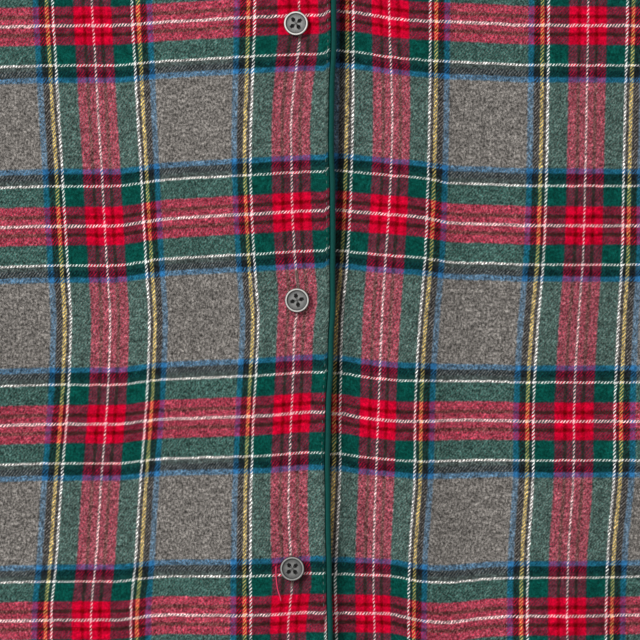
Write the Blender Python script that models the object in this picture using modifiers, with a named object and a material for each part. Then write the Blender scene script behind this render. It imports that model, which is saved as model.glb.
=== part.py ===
"""Flannel nightshirt laid out flat and face up on a surface.

The back panel lies on the surface, the two fronts lie on the back, and the right front (at -X) laps over
the left one at the button line. Both sleeves lie flat as tubes, and the turn-down collar is a folded band
whose fall lies on the fronts and under the back. X = 0 is the button line, +Y points to the collar, Z = 0
is the surface. Inside the functions a point is given by its reach, the distance from the button line
towards its own side, and its drop, the distance below the high point of the shoulder.
"""
import math
from collections import namedtuple

import bpy
import bmesh
from mathutils import Vector

# Cloth and the gap that parts neighbouring pieces
CLOTH = 0.0012
GAP = 0.0003
LAYER = CLOTH + GAP

# Body, measured on the flat garment
LENGTH = 0.960
NECK_HALF = 0.088
FRONT_NECK_DROP = 0.095
BACK_NECK_DROP = 0.020
SHOULDER_HALF = 0.212
SHOULDER_DROP = 0.042
CHEST_HALF = 0.282
ARMHOLE_DROP = 0.255
ARMHOLE_CURVE = 2.2
HEM_HALF = 0.322
HEM_RISE = 0.014

# Lap of the fronts: each free edge passes the button line
RIGHT_LAP = 0.0157
LEFT_LAP = 0.0165
LAP_END = 0.0172
LAP_RAMP_END = 0.028
LAP_EASE = 0.0001

# How far the fronts stand off the back, away from their seams
LOFT = 0.0010
SEAM_HOLD = 0.030

# Sleeves, flat
SLEEVE_LENGTH = 0.565
SLEEVE_ANGLE = math.radians(26)
CUFF_WIDTH = 0.125
SLEEVE_LOFT = 0.0022
UNDERARM_CLEAR = 0.0014

# Collar: a stand that rises from the neck seam, a roll, and a fall with two points
STAND_RISE_FRONT = 0.030
ROLL_HALF = 0.080
ROLL_SIDE_RISE = 0.028
ROLL_BACK_RISE = 0.012
POINT_REACH = 0.042
POINT_DROP = 0.128
FALL_SIDE_REACH = 0.131
FALL_SIDE_DROP = 0.011
FALL_BACK_DROP = 0.052
FALL_BULGE = 0.010
FALL_EASE = 0.0007
FALL_EASE_WIDTH = 0.020
ROLL_RADIUS = 0.0016
COLLAR_END = 0.0005

# The fall's back half lies under the back panel, which is lifted over it near the neck
NECK_LIFT = 0.0018
LIFT_REACH = (0.150, 0.195)
LIFT_DROP = (0.078, 0.125)

# Piping along the lap's edge, and the buttons
PIPING_DIAMETER = 0.0026
PIPING_TOP_DROP = 0.097
BUTTON_DIAMETER = 0.0115
BUTTON_HEIGHT = 0.0026
BUTTON_RIM = 0.0010
BUTTON_DISH = 0.0006
BUTTON_HOLE = 0.0017
BUTTON_HOLE_SPACING = 0.0028
BUTTON_PITCH = 0.1285
FIRST_BUTTON_DROP = 0.108

# Each button as it was sewn: how far off its even place, and how it is turned
Sewn = namedtuple("Sewn", "reach drop turn")
BUTTONS = [
    Sewn(0.0000, 0.0000, math.radians(20)),
    Sewn(0.0003, -0.0017, math.radians(10)),
    Sewn(0.0010, 0.0000, math.radians(38)),
    Sewn(-0.0012, -0.0023, math.radians(2)),
    Sewn(0.0004, 0.0006, math.radians(27)),
    Sewn(-0.0003, 0.0000, math.radians(14)),
]

# Soft folds of the fronts: a ridge line from its top to its end, its height and its half width
Fold = namedtuple("Fold", "top_reach top_drop end_reach end_drop height half_width")
RIGHT_FOLDS = [
    Fold(0.052, 0.235, 0.050, 0.500, 0.0042, 0.030),
    Fold(0.095, 0.480, 0.125, 1.100, 0.0085, 0.042),
    Fold(0.196, 0.560, 0.236, 1.120, 0.0100, 0.045),
    Fold(0.240, 0.265, 0.130, 0.420, 0.0065, 0.030),
    Fold(0.178, 0.080, 0.196, 0.300, 0.0060, 0.026),
    Fold(0.062, 0.620, 0.055, 0.900, 0.0045, 0.026),
]
LEFT_FOLDS = [
    Fold(0.054, 0.170, 0.050, 0.620, 0.0048, 0.026),
    Fold(0.118, 0.420, 0.150, 1.110, 0.0090, 0.044),
    Fold(0.210, 0.600, 0.262, 1.130, 0.0095, 0.042),
    Fold(0.244, 0.290, 0.152, 0.460, 0.0070, 0.030),
    Fold(0.172, 0.075, 0.186, 0.270, 0.0055, 0.026),
    Fold(0.070, 0.700, 0.082, 1.080, 0.0060, 0.032),
]

# Soft folds of the sleeves' upper layer, in shares of the sleeve's width and length
Crease = namedtuple("Crease", "top_across top_along end_across end_along height half_width")
SLEEVE_CREASES = [
    Crease(0.90, 0.04, 0.30, 0.30, 0.0050, 0.13),
    Crease(0.20, 0.30, 0.80, 0.52, 0.0045, 0.12),
    Crease(0.75, 0.50, 0.25, 0.70, 0.0050, 0.12),
    Crease(0.60, 0.66, 0.42, 1.25, 0.0040, 0.16),
]

# Mesh density: columns run down the garment, rows run across it
FIXED_REACHES = [0.0, LAP_END, LAP_RAMP_END]
NECK_COLUMNS = 7
NECK_COLUMN_STEP = 0.012
SHOULDER_COLUMNS = 6
LOWER_ROWS = 24
UPPER_ROWS = 8
SLEEVE_ROWS = 16
STAND_ROWS = 2
ROLL_ROWS = 4
FALL_ROWS = 4
TURN_STEPS = 4
BUTTON_STEPS = 20

# Tubes and the collar are this much off the surface, so that their rounded folds stay above it
SURFACE_EASE = 0.00002

# The whole lies centred on the origin in Y: from the collar's top to the hem
COLLAR_TOP = 0.03156
Y_HIGH_POINT = (LENGTH - COLLAR_TOP) / 2


def smooth(t):
    t = min(1.0, max(0.0, t))
    return t * t * (3 - 2 * t)


def lerp(a, b, t):
    return a + (b - a) * t


def world(side, reach, drop, height):
    """A point from its side (-1 wearer's right, +1 wearer's left), reach, drop and height."""
    return Vector((side * reach, Y_HIGH_POINT - drop, height))


# Outline of the body

def hem_drop(reach):
    return LENGTH - HEM_RISE * (reach / HEM_HALF) ** 2


def armhole(t):
    """Reach and drop of the armhole's point, t = 0 at the underarm and 1 at the shoulder tip."""
    inward = 1 - (1 - t) ** ARMHOLE_CURVE
    return lerp(CHEST_HALF, SHOULDER_HALF, inward), lerp(ARMHOLE_DROP, SHOULDER_DROP, t)


def outline_reach(drop):
    """Reach of the side seam or armhole at a drop."""
    if drop >= ARMHOLE_DROP:
        return lerp(CHEST_HALF, HEM_HALF, (drop - ARMHOLE_DROP) / (LENGTH - ARMHOLE_DROP))
    return armhole(min(1.0, (ARMHOLE_DROP - drop) / (ARMHOLE_DROP - SHOULDER_DROP)))[0]


def shoulder_drop(reach):
    return SHOULDER_DROP * (reach - NECK_HALF) / (SHOULDER_HALF - NECK_HALF)


def neck_angles():
    """Angles round the neck curve where columns meet it, from the button line to the high point."""
    fixed = [math.asin(reach / NECK_HALF) for reach in FIXED_REACHES]
    last = fixed[-1]
    spread = [lerp(last, math.pi / 2, k / NECK_COLUMNS) for k in range(1, NECK_COLUMNS + 1)]
    return fixed + spread


# Heights

def seam_hold(reach, drop, neck_drop):
    """0 on the shoulder, side, armhole and neck seams, rising to 1 in the open panel."""
    from_shoulder = drop - shoulder_drop(reach)
    from_side = outline_reach(drop) - reach
    from_neck = (math.hypot(reach / NECK_HALF, max(0.0, drop) / neck_drop) - 1) * neck_drop
    return (smooth(from_shoulder / SEAM_HOLD) * smooth(from_side / SEAM_HOLD)
            * smooth(from_neck / SEAM_HOLD))


def ridge(across, along, half_width):
    """Share of a fold's height: 1 on its ridge, 0 past its sides and ends."""
    if abs(across) >= half_width or not 0 < along < 1:
        return 0.0
    return math.cos(across / half_width * math.pi / 2) ** 2 * math.sin(math.pi * along) ** 0.8


def folds_height(folds, reach, drop):
    height = 0.0
    for fold in folds:
        run = Vector((fold.end_reach - fold.top_reach, fold.end_drop - fold.top_drop))
        here = Vector((reach - fold.top_reach, drop - fold.top_drop))
        along = here.dot(run) / run.length_squared
        across = here.cross(run) / run.length
        height += fold.height * ridge(across, along, fold.half_width)
    return height


def neck_lift(reach, drop):
    beside = 1 - smooth((abs(reach) - LIFT_REACH[0]) / (LIFT_REACH[1] - LIFT_REACH[0]))
    below = 1 - smooth((drop - LIFT_DROP[0]) / (LIFT_DROP[1] - LIFT_DROP[0]))
    return NECK_LIFT * beside * below


def back_height(reach, drop):
    """Middle of the back panel's wall above the surface."""
    return CLOTH / 2 + neck_lift(reach, drop)


def front_height(side, reach, drop):
    """Middle of a front panel's wall: on the back, and on the other front where the lap covers it."""
    hold = seam_hold(abs(reach), drop, FRONT_NECK_DROP)
    folds = RIGHT_FOLDS if side < 0 else LEFT_FOLDS
    height = back_height(reach, drop) + LAYER + hold * (LOFT + folds_height(folds, reach, drop))
    if side < 0:
        ramp = (reach - LAP_END) / (LAP_RAMP_END - LAP_END)
        height += (LAYER + LAP_EASE) * (1 - min(1.0, max(0.0, ramp)))
    return height


# Meshes

def grid_object(name, columns, rows, place, closed=False):
    """A grid of columns by rows faces, each corner moved to place(column, row), given the cloth's wall.

    closed joins the last column to the first, which makes a tube.
    """
    bm = bmesh.new()
    bmesh.ops.create_grid(bm, x_segments=columns, y_segments=rows, size=0.5)
    for vert in bm.verts:
        column = round((vert.co.x + 0.5) * columns)
        row = round((vert.co.y + 0.5) * rows)
        vert.co = place(column % columns if closed else column, row)
    if closed:
        bmesh.ops.remove_doubles(bm, verts=bm.verts, dist=0.00001)
    bmesh.ops.recalc_face_normals(bm, faces=bm.faces)
    mesh = bpy.data.meshes.new(name)
    bm.to_mesh(mesh)
    bm.free()
    mesh.shade_smooth()
    panel = bpy.data.objects.new(name, mesh)
    wall = panel.modifiers.new("wall", "SOLIDIFY")
    wall.thickness = CLOTH
    wall.offset = 0.0
    wall.use_even_offset = True
    return panel


def panel_plan(first_reaches, neck_drop):
    """Columns of reach at the underarm level, at the hem and at the top edge, from the free edge out."""
    angles = [math.asin(reach / NECK_HALF) for reach in first_reaches] + neck_angles()
    fixed = first_reaches + FIXED_REACHES
    neck_reaches = [LAP_RAMP_END + NECK_COLUMN_STEP * k for k in range(1, NECK_COLUMNS + 1)]
    last = neck_reaches[-1]
    outer = [lerp(last, CHEST_HALF, k / SHOULDER_COLUMNS) for k in range(1, SHOULDER_COLUMNS + 1)]
    middle = fixed + neck_reaches + outer
    spread = (HEM_HALF - LAP_RAMP_END) / (CHEST_HALF - LAP_RAMP_END)
    hem = [reach if reach <= LAP_RAMP_END else LAP_RAMP_END + (reach - LAP_RAMP_END) * spread
           for reach in middle]
    top = [(NECK_HALF * math.sin(a), neck_drop * math.cos(a)) for a in angles]
    for k in range(1, SHOULDER_COLUMNS + 1):
        reach = lerp(NECK_HALF, SHOULDER_HALF, k / SHOULDER_COLUMNS)
        top.append((reach, shoulder_drop(reach)))
    return middle, hem, top


def panel_point(plan, column, row):
    """Reach and drop of a panel's grid corner; row 0 is the hem."""
    middle, hem, top = plan
    if row <= LOWER_ROWS:
        t = row / LOWER_ROWS
        return lerp(hem[column], middle[column], t), lerp(hem_drop(hem[column]), ARMHOLE_DROP, t)
    t = (row - LOWER_ROWS) / UPPER_ROWS
    share = max(0.0, middle[column] / CHEST_HALF) ** 2
    straight = lerp(CHEST_HALF, SHOULDER_HALF, t)
    reach = lerp(middle[column], top[column][0], t) + share * (armhole(t)[0] - straight)
    return reach, lerp(ARMHOLE_DROP, top[column][1], t)


def make_front(name, side, lap):
    plan = panel_plan([-lap], FRONT_NECK_DROP)

    def place(column, row):
        reach, drop = panel_point(plan, column, row)
        return world(side, reach, drop, front_height(side, reach, drop))

    return grid_object(name, len(plan[0]) - 1, LOWER_ROWS + UPPER_ROWS, place)


def make_back():
    plan = panel_plan([], BACK_NECK_DROP)
    half = len(plan[0]) - 1

    def place(column, row):
        side = -1 if column < half else 1
        reach, drop = panel_point(plan, abs(column - half), row)
        return world(side, reach, drop, back_height(reach, drop))

    return grid_object("back", 2 * half, LOWER_ROWS + UPPER_ROWS, place)


# Sleeves

def sleeve_plan(across, along):
    """Reach and drop on a flat sleeve: across 0 is its top fold, along 0 is the armhole."""
    run, fall = math.cos(SLEEVE_ANGLE), math.sin(SLEEVE_ANGLE)
    reach, drop = armhole(1 - across)
    reach += 1.5 * GAP + UNDERARM_CLEAR * across ** 8
    end_reach = SHOULDER_HALF + SLEEVE_LENGTH * run - across * CUFF_WIDTH * fall
    end_drop = SHOULDER_DROP + SLEEVE_LENGTH * fall + across * CUFF_WIDTH * run
    return lerp(reach, end_reach, along), lerp(drop, end_drop, along)


def sleeve_rise(across, along):
    """How far the upper layer stands off its place at the folds and at the armhole."""
    height = SLEEVE_LOFT
    for crease in SLEEVE_CREASES:
        run = Vector((crease.end_across - crease.top_across, crease.end_along - crease.top_along))
        here = Vector((across - crease.top_across, along - crease.top_along))
        share = here.dot(run) / run.length_squared
        height += crease.height * ridge(here.cross(run) / run.length, share, crease.half_width)
    return height * math.sin(math.pi * across) ** 0.7 * smooth(along * 8)


def make_sleeve(name, side):
    """A flat tube: up the upper layer's columns, round a fold, and back along the lower layer."""
    low = CLOTH / 2 + SURFACE_EASE
    high = low + LAYER
    radius = (high - low) / 2
    columns = [("upper", k / UPPER_ROWS) for k in range(UPPER_ROWS + 1)]
    columns += [("under_fold", k / TURN_STEPS) for k in range(1, TURN_STEPS)]
    columns += [("lower", 1 - k / UPPER_ROWS) for k in range(UPPER_ROWS + 1)]
    columns += [("top_fold", k / TURN_STEPS) for k in range(1, TURN_STEPS)]
    outward = Vector((-math.sin(SLEEVE_ANGLE), math.cos(SLEEVE_ANGLE)))

    def place(column, row):
        layer, share = columns[column]
        along = row / SLEEVE_ROWS
        if layer == "upper":
            reach, drop = sleeve_plan(share, along)
            return world(side, reach, drop, high + sleeve_rise(share, along))
        if layer == "lower":
            reach, drop = sleeve_plan(share, along)
            return world(side, reach, drop, low)
        sign = 1 if layer == "under_fold" else -1
        reach, drop = sleeve_plan(1.0 if sign > 0 else 0.0, along)
        angle = math.pi * share
        out = radius * math.sin(angle)
        height = low + radius + sign * radius * math.cos(angle)
        return world(side, reach + sign * out * outward.x, drop + sign * out * outward.y, height)

    return grid_object(name, len(columns), SLEEVE_ROWS, place, closed=True)


# Collar

def collar_lines(front, angle):
    """Seam, roll and fall edge at an angle round the neck, each as a reach and a drop."""
    share = angle / (math.pi / 2)
    neck_drop = FRONT_NECK_DROP if front else BACK_NECK_DROP
    seam = Vector(((NECK_HALF - GAP) * math.sin(angle),
                   (neck_drop - GAP) * math.cos(angle) - GAP * math.sin(angle)))
    rise = 1 - math.cos(angle)
    if front:
        start = FRONT_NECK_DROP - STAND_RISE_FRONT
        edge = Vector((lerp(POINT_REACH, FALL_SIDE_REACH, share), lerp(POINT_DROP, FALL_SIDE_DROP, share)))
        slope = Vector((FALL_SIDE_REACH - POINT_REACH, FALL_SIDE_DROP - POINT_DROP)).normalized()
        edge += FALL_BULGE * math.sin(math.pi * share) * Vector((-slope.y, slope.x))
    else:
        start = -ROLL_BACK_RISE
        edge = Vector((FALL_SIDE_REACH * math.sin(angle), lerp(FALL_BACK_DROP, FALL_SIDE_DROP, rise)))
    roll = Vector((ROLL_HALF * math.sin(angle), lerp(start, -ROLL_SIDE_RISE, rise)))
    return seam, roll, edge


def collar_point(side, front, angle, row):
    """Reach, drop and height of the collar at an angle round the neck; row 0 is the neck seam."""
    seam, roll, edge = collar_lines(front, angle)
    up = (roll - seam).normalized()
    if row <= STAND_ROWS:
        spot, fall = seam.lerp(roll, row / STAND_ROWS), 0.0
    elif row <= STAND_ROWS + ROLL_ROWS:
        turn = math.pi * (row - STAND_ROWS) / ROLL_ROWS
        spot, fall = roll + up * ROLL_RADIUS * math.sin(turn), (1 - math.cos(turn)) / 2
    else:
        share = (row - STAND_ROWS - ROLL_ROWS) / FALL_ROWS
        spot, fall = roll.lerp(edge, share), 1.0
    if front:
        height = front_height(side, max(COLLAR_END, spot.x), spot.y) + fall * LAYER
        if row > STAND_ROWS + ROLL_ROWS:
            height += FALL_EASE * smooth((spot - roll).length / FALL_EASE_WIDTH)
    else:
        height = lerp(CLOTH / 2 + NECK_LIFT, CLOTH / 2 + SURFACE_EASE, fall)
    return spot, height


def make_collar():
    """The folded band, from the right front's centre round the back of the neck to the left front's."""
    stations = [math.asin(COLLAR_END / NECK_HALF)] + neck_angles()[1:]
    columns = []
    for side, order in ((-1, 1), (1, -1)):
        fronts = [(side, True, angle, None) for angle in stations]
        turns = [(side, None, math.pi / 2, k / TURN_STEPS) for k in range(1, TURN_STEPS)]
        backs = [(side, False, angle, None) for angle in reversed(neck_angles())]
        if side > 0:
            backs = backs[:-1]
        columns += (fronts + turns + backs)[::order]

    def place(column, row):
        side, front, angle, turn = columns[column]
        if turn is None:
            spot, height = collar_point(side, front, angle, row)
            return world(side, spot.x, spot.y, height)
        upper, high = collar_point(side, True, angle, row)
        low = collar_point(side, False, angle, row)[1]
        seam, roll, edge = collar_lines(True, angle)
        stand_out = Vector((-(roll - seam).y, (roll - seam).x)).normalized()
        fall_out = Vector(((edge - roll).y, -(edge - roll).x)).normalized()
        share = smooth((row - STAND_ROWS) / ROLL_ROWS)
        out = stand_out.lerp(fall_out, share).normalized()
        radius = (high - low) / 2
        spot = upper + out * radius * math.sin(math.pi * turn)
        return world(side, spot.x, spot.y, (high + low) / 2 + radius * math.cos(math.pi * turn))

    return grid_object("collar", len(columns) - 1, STAND_ROWS + ROLL_ROWS + FALL_ROWS, place)


# Piping and buttons

def make_piping():
    """A round cord of piping along the right front's free edge, from the neck to the hem."""
    radius = PIPING_DIAMETER / 2
    reach = -(RIGHT_LAP + GAP + radius)
    curve = bpy.data.curves.new("placket_piping", "CURVE")
    curve.dimensions = "3D"
    curve.bevel_depth = radius
    curve.bevel_resolution = 2
    curve.use_fill_caps = True
    count = LOWER_ROWS + 5
    spline = curve.splines.new("POLY")
    spline.points.add(count)
    for k, point in enumerate(spline.points):
        drop = lerp(PIPING_TOP_DROP, hem_drop(reach), k / count)
        under = front_height(1, -reach, drop) + CLOTH / 2
        point.co = (*world(-1, reach, drop, under + GAP + radius), 1.0)
    return bpy.data.objects.new("placket_piping", curve)


def button_mesh():
    """A turned disc with a raised rim and a dished face, cut through by four holes."""
    radius = BUTTON_DIAMETER / 2
    bevel = BUTTON_HEIGHT / 4
    profile = [(0.0, BUTTON_HEIGHT - BUTTON_DISH), (radius - 1.6 * BUTTON_RIM, BUTTON_HEIGHT - BUTTON_DISH),
               (radius - BUTTON_RIM, BUTTON_HEIGHT), (radius - bevel, BUTTON_HEIGHT),
               (radius, BUTTON_HEIGHT - bevel), (radius, 2 * bevel), (radius - 2 * bevel, 0.0), (0.0, 0.0)]
    mesh = bpy.data.meshes.new("button_profile")
    mesh.from_pydata([(x, 0.0, z) for x, z in profile], [(k, k + 1) for k in range(len(profile) - 1)], [])
    blank = bpy.data.objects.new("button_blank", mesh)
    COLLECTION.objects.link(blank)
    turn = blank.modifiers.new("turn", "SCREW")
    turn.steps = turn.render_steps = BUTTON_STEPS
    turn.use_merge_vertices = True
    turn.merge_threshold = 0.00005
    cutters = []
    for k in range(4):
        angle = math.pi / 4 + k * math.pi / 2
        place = Vector((math.cos(angle), math.sin(angle), 0.0)) * BUTTON_HOLE_SPACING / math.sqrt(2)
        cutter = hole_cutter("button_hole_cutter_%d" % (k + 1), place)
        cut = blank.modifiers.new("hole_%d" % (k + 1), "BOOLEAN")
        cut.object = cutter
        cutters.append(cutter)
    bpy.context.view_layer.update()
    graph = bpy.context.evaluated_depsgraph_get()
    button = bpy.data.meshes.new_from_object(blank.evaluated_get(graph))
    button.name = "button"
    for helper in [blank] + cutters:
        bpy.data.objects.remove(helper)
    button.shade_smooth()
    button.set_sharp_from_angle(angle=math.radians(35))
    return button


def hole_cutter(name, place):
    bm = bmesh.new()
    bmesh.ops.create_cone(bm, cap_ends=True, segments=8, radius1=BUTTON_HOLE / 2, radius2=BUTTON_HOLE / 2,
                          depth=3 * BUTTON_HEIGHT)
    mesh = bpy.data.meshes.new(name)
    bm.to_mesh(mesh)
    bm.free()
    cutter = bpy.data.objects.new(name, mesh)
    cutter.location = place
    cutter.hide_render = True
    cutter.display_type = "WIRE"
    CUTTERS.objects.link(cutter)
    return cutter


def make_buttons():
    mesh = button_mesh()
    buttons = []
    for number, sewn in enumerate(BUTTONS, start=1):
        drop = FIRST_BUTTON_DROP + BUTTON_PITCH * (number - 1) + sewn.drop
        top = front_height(-1, -sewn.reach, drop) + CLOTH / 2
        button = bpy.data.objects.new("button_%d" % number, mesh)
        button.location = world(1, sewn.reach, drop, top + GAP)
        button.rotation_euler.z = sewn.turn
        buttons.append(button)
    return buttons


# Materials and assembly

def material(name, color, roughness):
    finish = bpy.data.materials.new(name)
    finish.use_nodes = True
    shader = finish.node_tree.nodes["Principled BSDF"]
    shader.inputs["Base Color"].default_value = (*color, 1.0)
    shader.inputs["Roughness"].default_value = roughness
    shader.inputs["Metallic"].default_value = 0.0
    return finish


def add(piece, finish):
    if not piece.data.materials:
        piece.data.materials.append(finish)
    COLLECTION.objects.link(piece)


for old in list(bpy.data.objects):
    bpy.data.objects.remove(old)
COLLECTION = bpy.data.collections.new("flannel_nightshirt")
CUTTERS = bpy.data.collections.new("cutters")
bpy.context.scene.collection.children.link(COLLECTION)
bpy.context.scene.collection.children.link(CUTTERS)

flannel = material("tartan_flannel", (0.16, 0.09, 0.09), 0.95)
green = material("green_piping", (0.010, 0.085, 0.055), 0.85)
plastic = material("smoke_plastic", (0.12, 0.12, 0.12), 0.35)

add(make_back(), flannel)
add(make_front("front_right", -1, RIGHT_LAP), flannel)
add(make_front("front_left", 1, LEFT_LAP), flannel)
add(make_sleeve("sleeve_right", -1), flannel)
add(make_sleeve("sleeve_left", 1), flannel)
add(make_collar(), flannel)
add(make_piping(), green)
for sewn_button in make_buttons():
    add(sewn_button, plastic)
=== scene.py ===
"""Flannel nightshirt laid out flat and face up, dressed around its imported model.

Every piece keeps the place of the solid that it stands for. X = 0 is the button line, +Y points to the collar
and Z = 0 is the surface. Inside the functions a point is given by its reach, the distance from the button
line towards its own side, and its drop, the distance below the high point of the shoulder. Sizes are in
metres, and tables that say so are in millimetres.
"""
import math
from bisect import bisect_right
from collections import namedtuple

import bpy
from bpy.props import FloatProperty, FloatVectorProperty, PointerProperty
from mathutils import Matrix, Vector, noise

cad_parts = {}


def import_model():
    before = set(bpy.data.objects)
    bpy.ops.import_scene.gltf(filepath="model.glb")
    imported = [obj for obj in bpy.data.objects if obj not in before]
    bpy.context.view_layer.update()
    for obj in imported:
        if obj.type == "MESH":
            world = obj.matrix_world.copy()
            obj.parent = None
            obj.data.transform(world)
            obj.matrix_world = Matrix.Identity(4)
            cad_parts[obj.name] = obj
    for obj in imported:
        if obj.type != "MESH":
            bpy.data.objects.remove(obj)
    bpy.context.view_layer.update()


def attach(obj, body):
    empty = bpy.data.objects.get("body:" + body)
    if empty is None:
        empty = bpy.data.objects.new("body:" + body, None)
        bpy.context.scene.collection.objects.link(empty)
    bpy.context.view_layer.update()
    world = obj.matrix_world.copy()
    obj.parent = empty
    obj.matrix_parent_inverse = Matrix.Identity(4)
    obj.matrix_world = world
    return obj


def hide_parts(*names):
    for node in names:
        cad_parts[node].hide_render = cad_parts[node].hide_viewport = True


bl_info = {
    "name": "Flannel nightshirt",
    "version": (1, 0, 0),
    "blender": (4, 5, 0),
    "location": "View3D > Sidebar > Nightshirt",
    "description": "Dresses the packed nightshirt in tartan flannel, piping, buttons and stitching",
    "category": "Object",
}

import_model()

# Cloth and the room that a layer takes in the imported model
WALL = 0.0010
CLOTH = 0.0012
GAP = 0.0003
LAYER = CLOTH + GAP

# Body, measured on the flat garment
LENGTH = 0.960
NECK_HALF = 0.088
FRONT_NECK_DROP = 0.095
BACK_NECK_DROP = 0.020
SHOULDER_HALF = 0.212
SHOULDER_DROP = 0.042
CHEST_HALF = 0.282
ARMHOLE_DROP = 0.255
ARMHOLE_CURVE = 2.2
HEM_HALF = 0.322
HEM_RISE = 0.014
NECK_END = 0.112
COLLAR_TOP = 0.03156
Y_HIGH_POINT = (LENGTH - COLLAR_TOP) / 2

# Lap of the fronts
RIGHT_LAP = 0.0157
LEFT_LAP = 0.0165
LAP_END = 0.0172
LAP_RAMP_END = 0.028
LAP_EASE = 0.0001

# How far the fronts stand off the back, away from their seams
LOFT = 0.0010
SEAM_HOLD = 0.030
SEAM_DIP = 0.00035
SEAM_DIP_WIDTH = 0.004

# Sleeves
SLEEVE_LENGTH = 0.565
SLEEVE_ANGLE = math.radians(26)
CUFF_WIDTH = 0.125
SLEEVE_LOFT = 0.0022
UNDERARM_CLEAR = 0.0014
SURFACE_EASE = 0.00002

# Collar
STAND_RISE_FRONT = 0.030
ROLL_HALF = 0.080
ROLL_SIDE_RISE = 0.028
ROLL_BACK_RISE = 0.012
POINT_REACH = 0.042
POINT_DROP = 0.128
FALL_SIDE_REACH = 0.131
FALL_SIDE_DROP = 0.011
FALL_BACK_DROP = 0.052
FALL_BULGE = 0.010
FALL_EASE = 0.0007
FALL_EASE_WIDTH = 0.020
ROLL_RADIUS = 0.0016
COLLAR_END = 0.0005
NECK_LIFT = 0.0018
LIFT_REACH = (0.150, 0.195)
LIFT_DROP = (0.078, 0.125)

# Turned hems and the rolled edge of the lap
HEM_TURN = 0.020
HEM_STEP = 0.00035
HEM_STEP_WIDTH = 0.0016
STITCH_GROOVE = 0.00030
STITCH_GROOVE_WIDTH = 0.0011
EDGE_ROLL = 0.0016
EDGE_ROLL_DROP = 0.00035
EDGE_ROUNDING = 0.0003

# Piping and buttons
PIPING_DIAMETER = 0.0026
PIPING_WIDTH = 0.0030
PIPING_TUCK = 0.0004
PIPING_TOP_DROP = 0.097
PIPING_SPRING_SHARE = 0.05
BUTTON_DIAMETER = 0.0115
BUTTON_HEIGHT = 0.0026
BUTTON_HOLE = 0.0018
BUTTON_HOLE_SPACING = 0.0028
BUTTON_HOLE_FLOOR = 0.0007
BUTTON_DISH = 0.00072
BUTTON_PITCH = 0.1285
FIRST_BUTTON_DROP = 0.108
BUTTONHOLE_LENGTH = 0.0146

# Threads: thickness of the buttonhole's rows and bars, of a button's thread and of the loose one
HOLE_THREAD = 0.00044
BAR_THREAD = 0.00040
BUTTON_THREAD = 0.00024
BUTTON_THREAD_ASIDE = 0.00011
LOOSE_THREAD = 0.00062
# Seams: how far apart the stitches start, how long and thick each one is, and how deep its ends go
Stitching = namedtuple("Stitching", "pitch length thickness sink")
HEM_STITCHING = Stitching(0.0036, 0.0026, 0.00045, 0.00035)
EDGE_STITCHING = Stitching(0.0033, 0.0020, 0.00030, 0.00042)
COLLAR_STITCHING = Stitching(0.0034, 0.0024, 0.00040, 0.00030)
# How far inside the edges those of the lap and of the collar run
EDGE_STITCH_INSET = 0.0010
COLLAR_STITCH_INSET = 0.0055
# The loose thread's course on the lap, in millimetres from the button line and below the high point
LOOSE_COURSE = [
    (-8.8, 489.4), (-8.8, 491.5), (-8.8, 493.6), (-8.65, 495.8), (-8.4, 498.2), (-8.0, 500.4), (-7.4, 502.4),
    (-6.75, 504.3), (-6.5, 505.8),
]

# Each button as it was sewn: how far off its even place, its turn, its tilt, where it tilts to, and how pale
# its rim and face are, painted shade that dims the less lit buttons
Sewn = namedtuple("Sewn", "reach drop turn tilt towards pale")
BUTTONS = [
    Sewn(0.0000, 0.0000, 20, 1.0, 60, 0.80),
    Sewn(0.0005, -0.0010, -9, 0.8, 120, 1.00),
    Sewn(0.0010, 0.0000, -31, 0.6, 200, 0.86),
    Sewn(-0.0012, -0.0030, -3, 2.2, 160, 0.63),
    Sewn(0.0004, 0.0006, 27, 1.2, 20, 0.75),
    Sewn(-0.0003, 0.0000, 14, 0.9, 300, 0.85),
]
# How far below its button's middle each buttonhole's middle lies
BUTTONHOLE_SLIPS = [0.0010, 0.0006, -0.0068, 0.0011, -0.0030, 0.0014]


def in_metres(table):
    """A table that is written in millimetres."""
    return [tuple(value / 1000 for value in row) for row in table]


# Folds and small creases of the fronts, much as the solids have the largest. A row is one ridge in
# millimetres: reach and drop of its top, reach and drop of its end, its height and its half width
RIGHT_FOLDS = in_metres([
    (67, 225, 65, 500, 3.6, 30), (95, 480, 125, 1100, 8.5, 42), (196, 560, 236, 1120, 10, 45),
    (240, 265, 130, 420, 6.5, 30), (178, 80, 196, 300, 6, 26), (62, 620, 55, 900, 4.5, 26),
    (262, 270, 168, 352, 2.2, 9), (272, 318, 190, 346, 1.6, 7), (232, 190, 150, 262, 1.8, 8),
    (150, 430, 176, 640, 2, 11), (205, 400, 262, 520, 2.4, 10), (66, 560, 112, 720, 1.7, 9),
    (172, 690, 160, 880, 2.6, 12), (254, 640, 278, 860, 2.2, 10), (36, 800, 40, 975, 1.8, 10),
    (112, 800, 104, 985, 2.2, 11), (204, 850, 196, 990, 2.4, 12), (128, 130, 140, 235, 1.2, 9),
    (100, 345, 76, 420, 0.7, 10), (70, 225, 92, 300, 0.6, 9),
])
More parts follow.
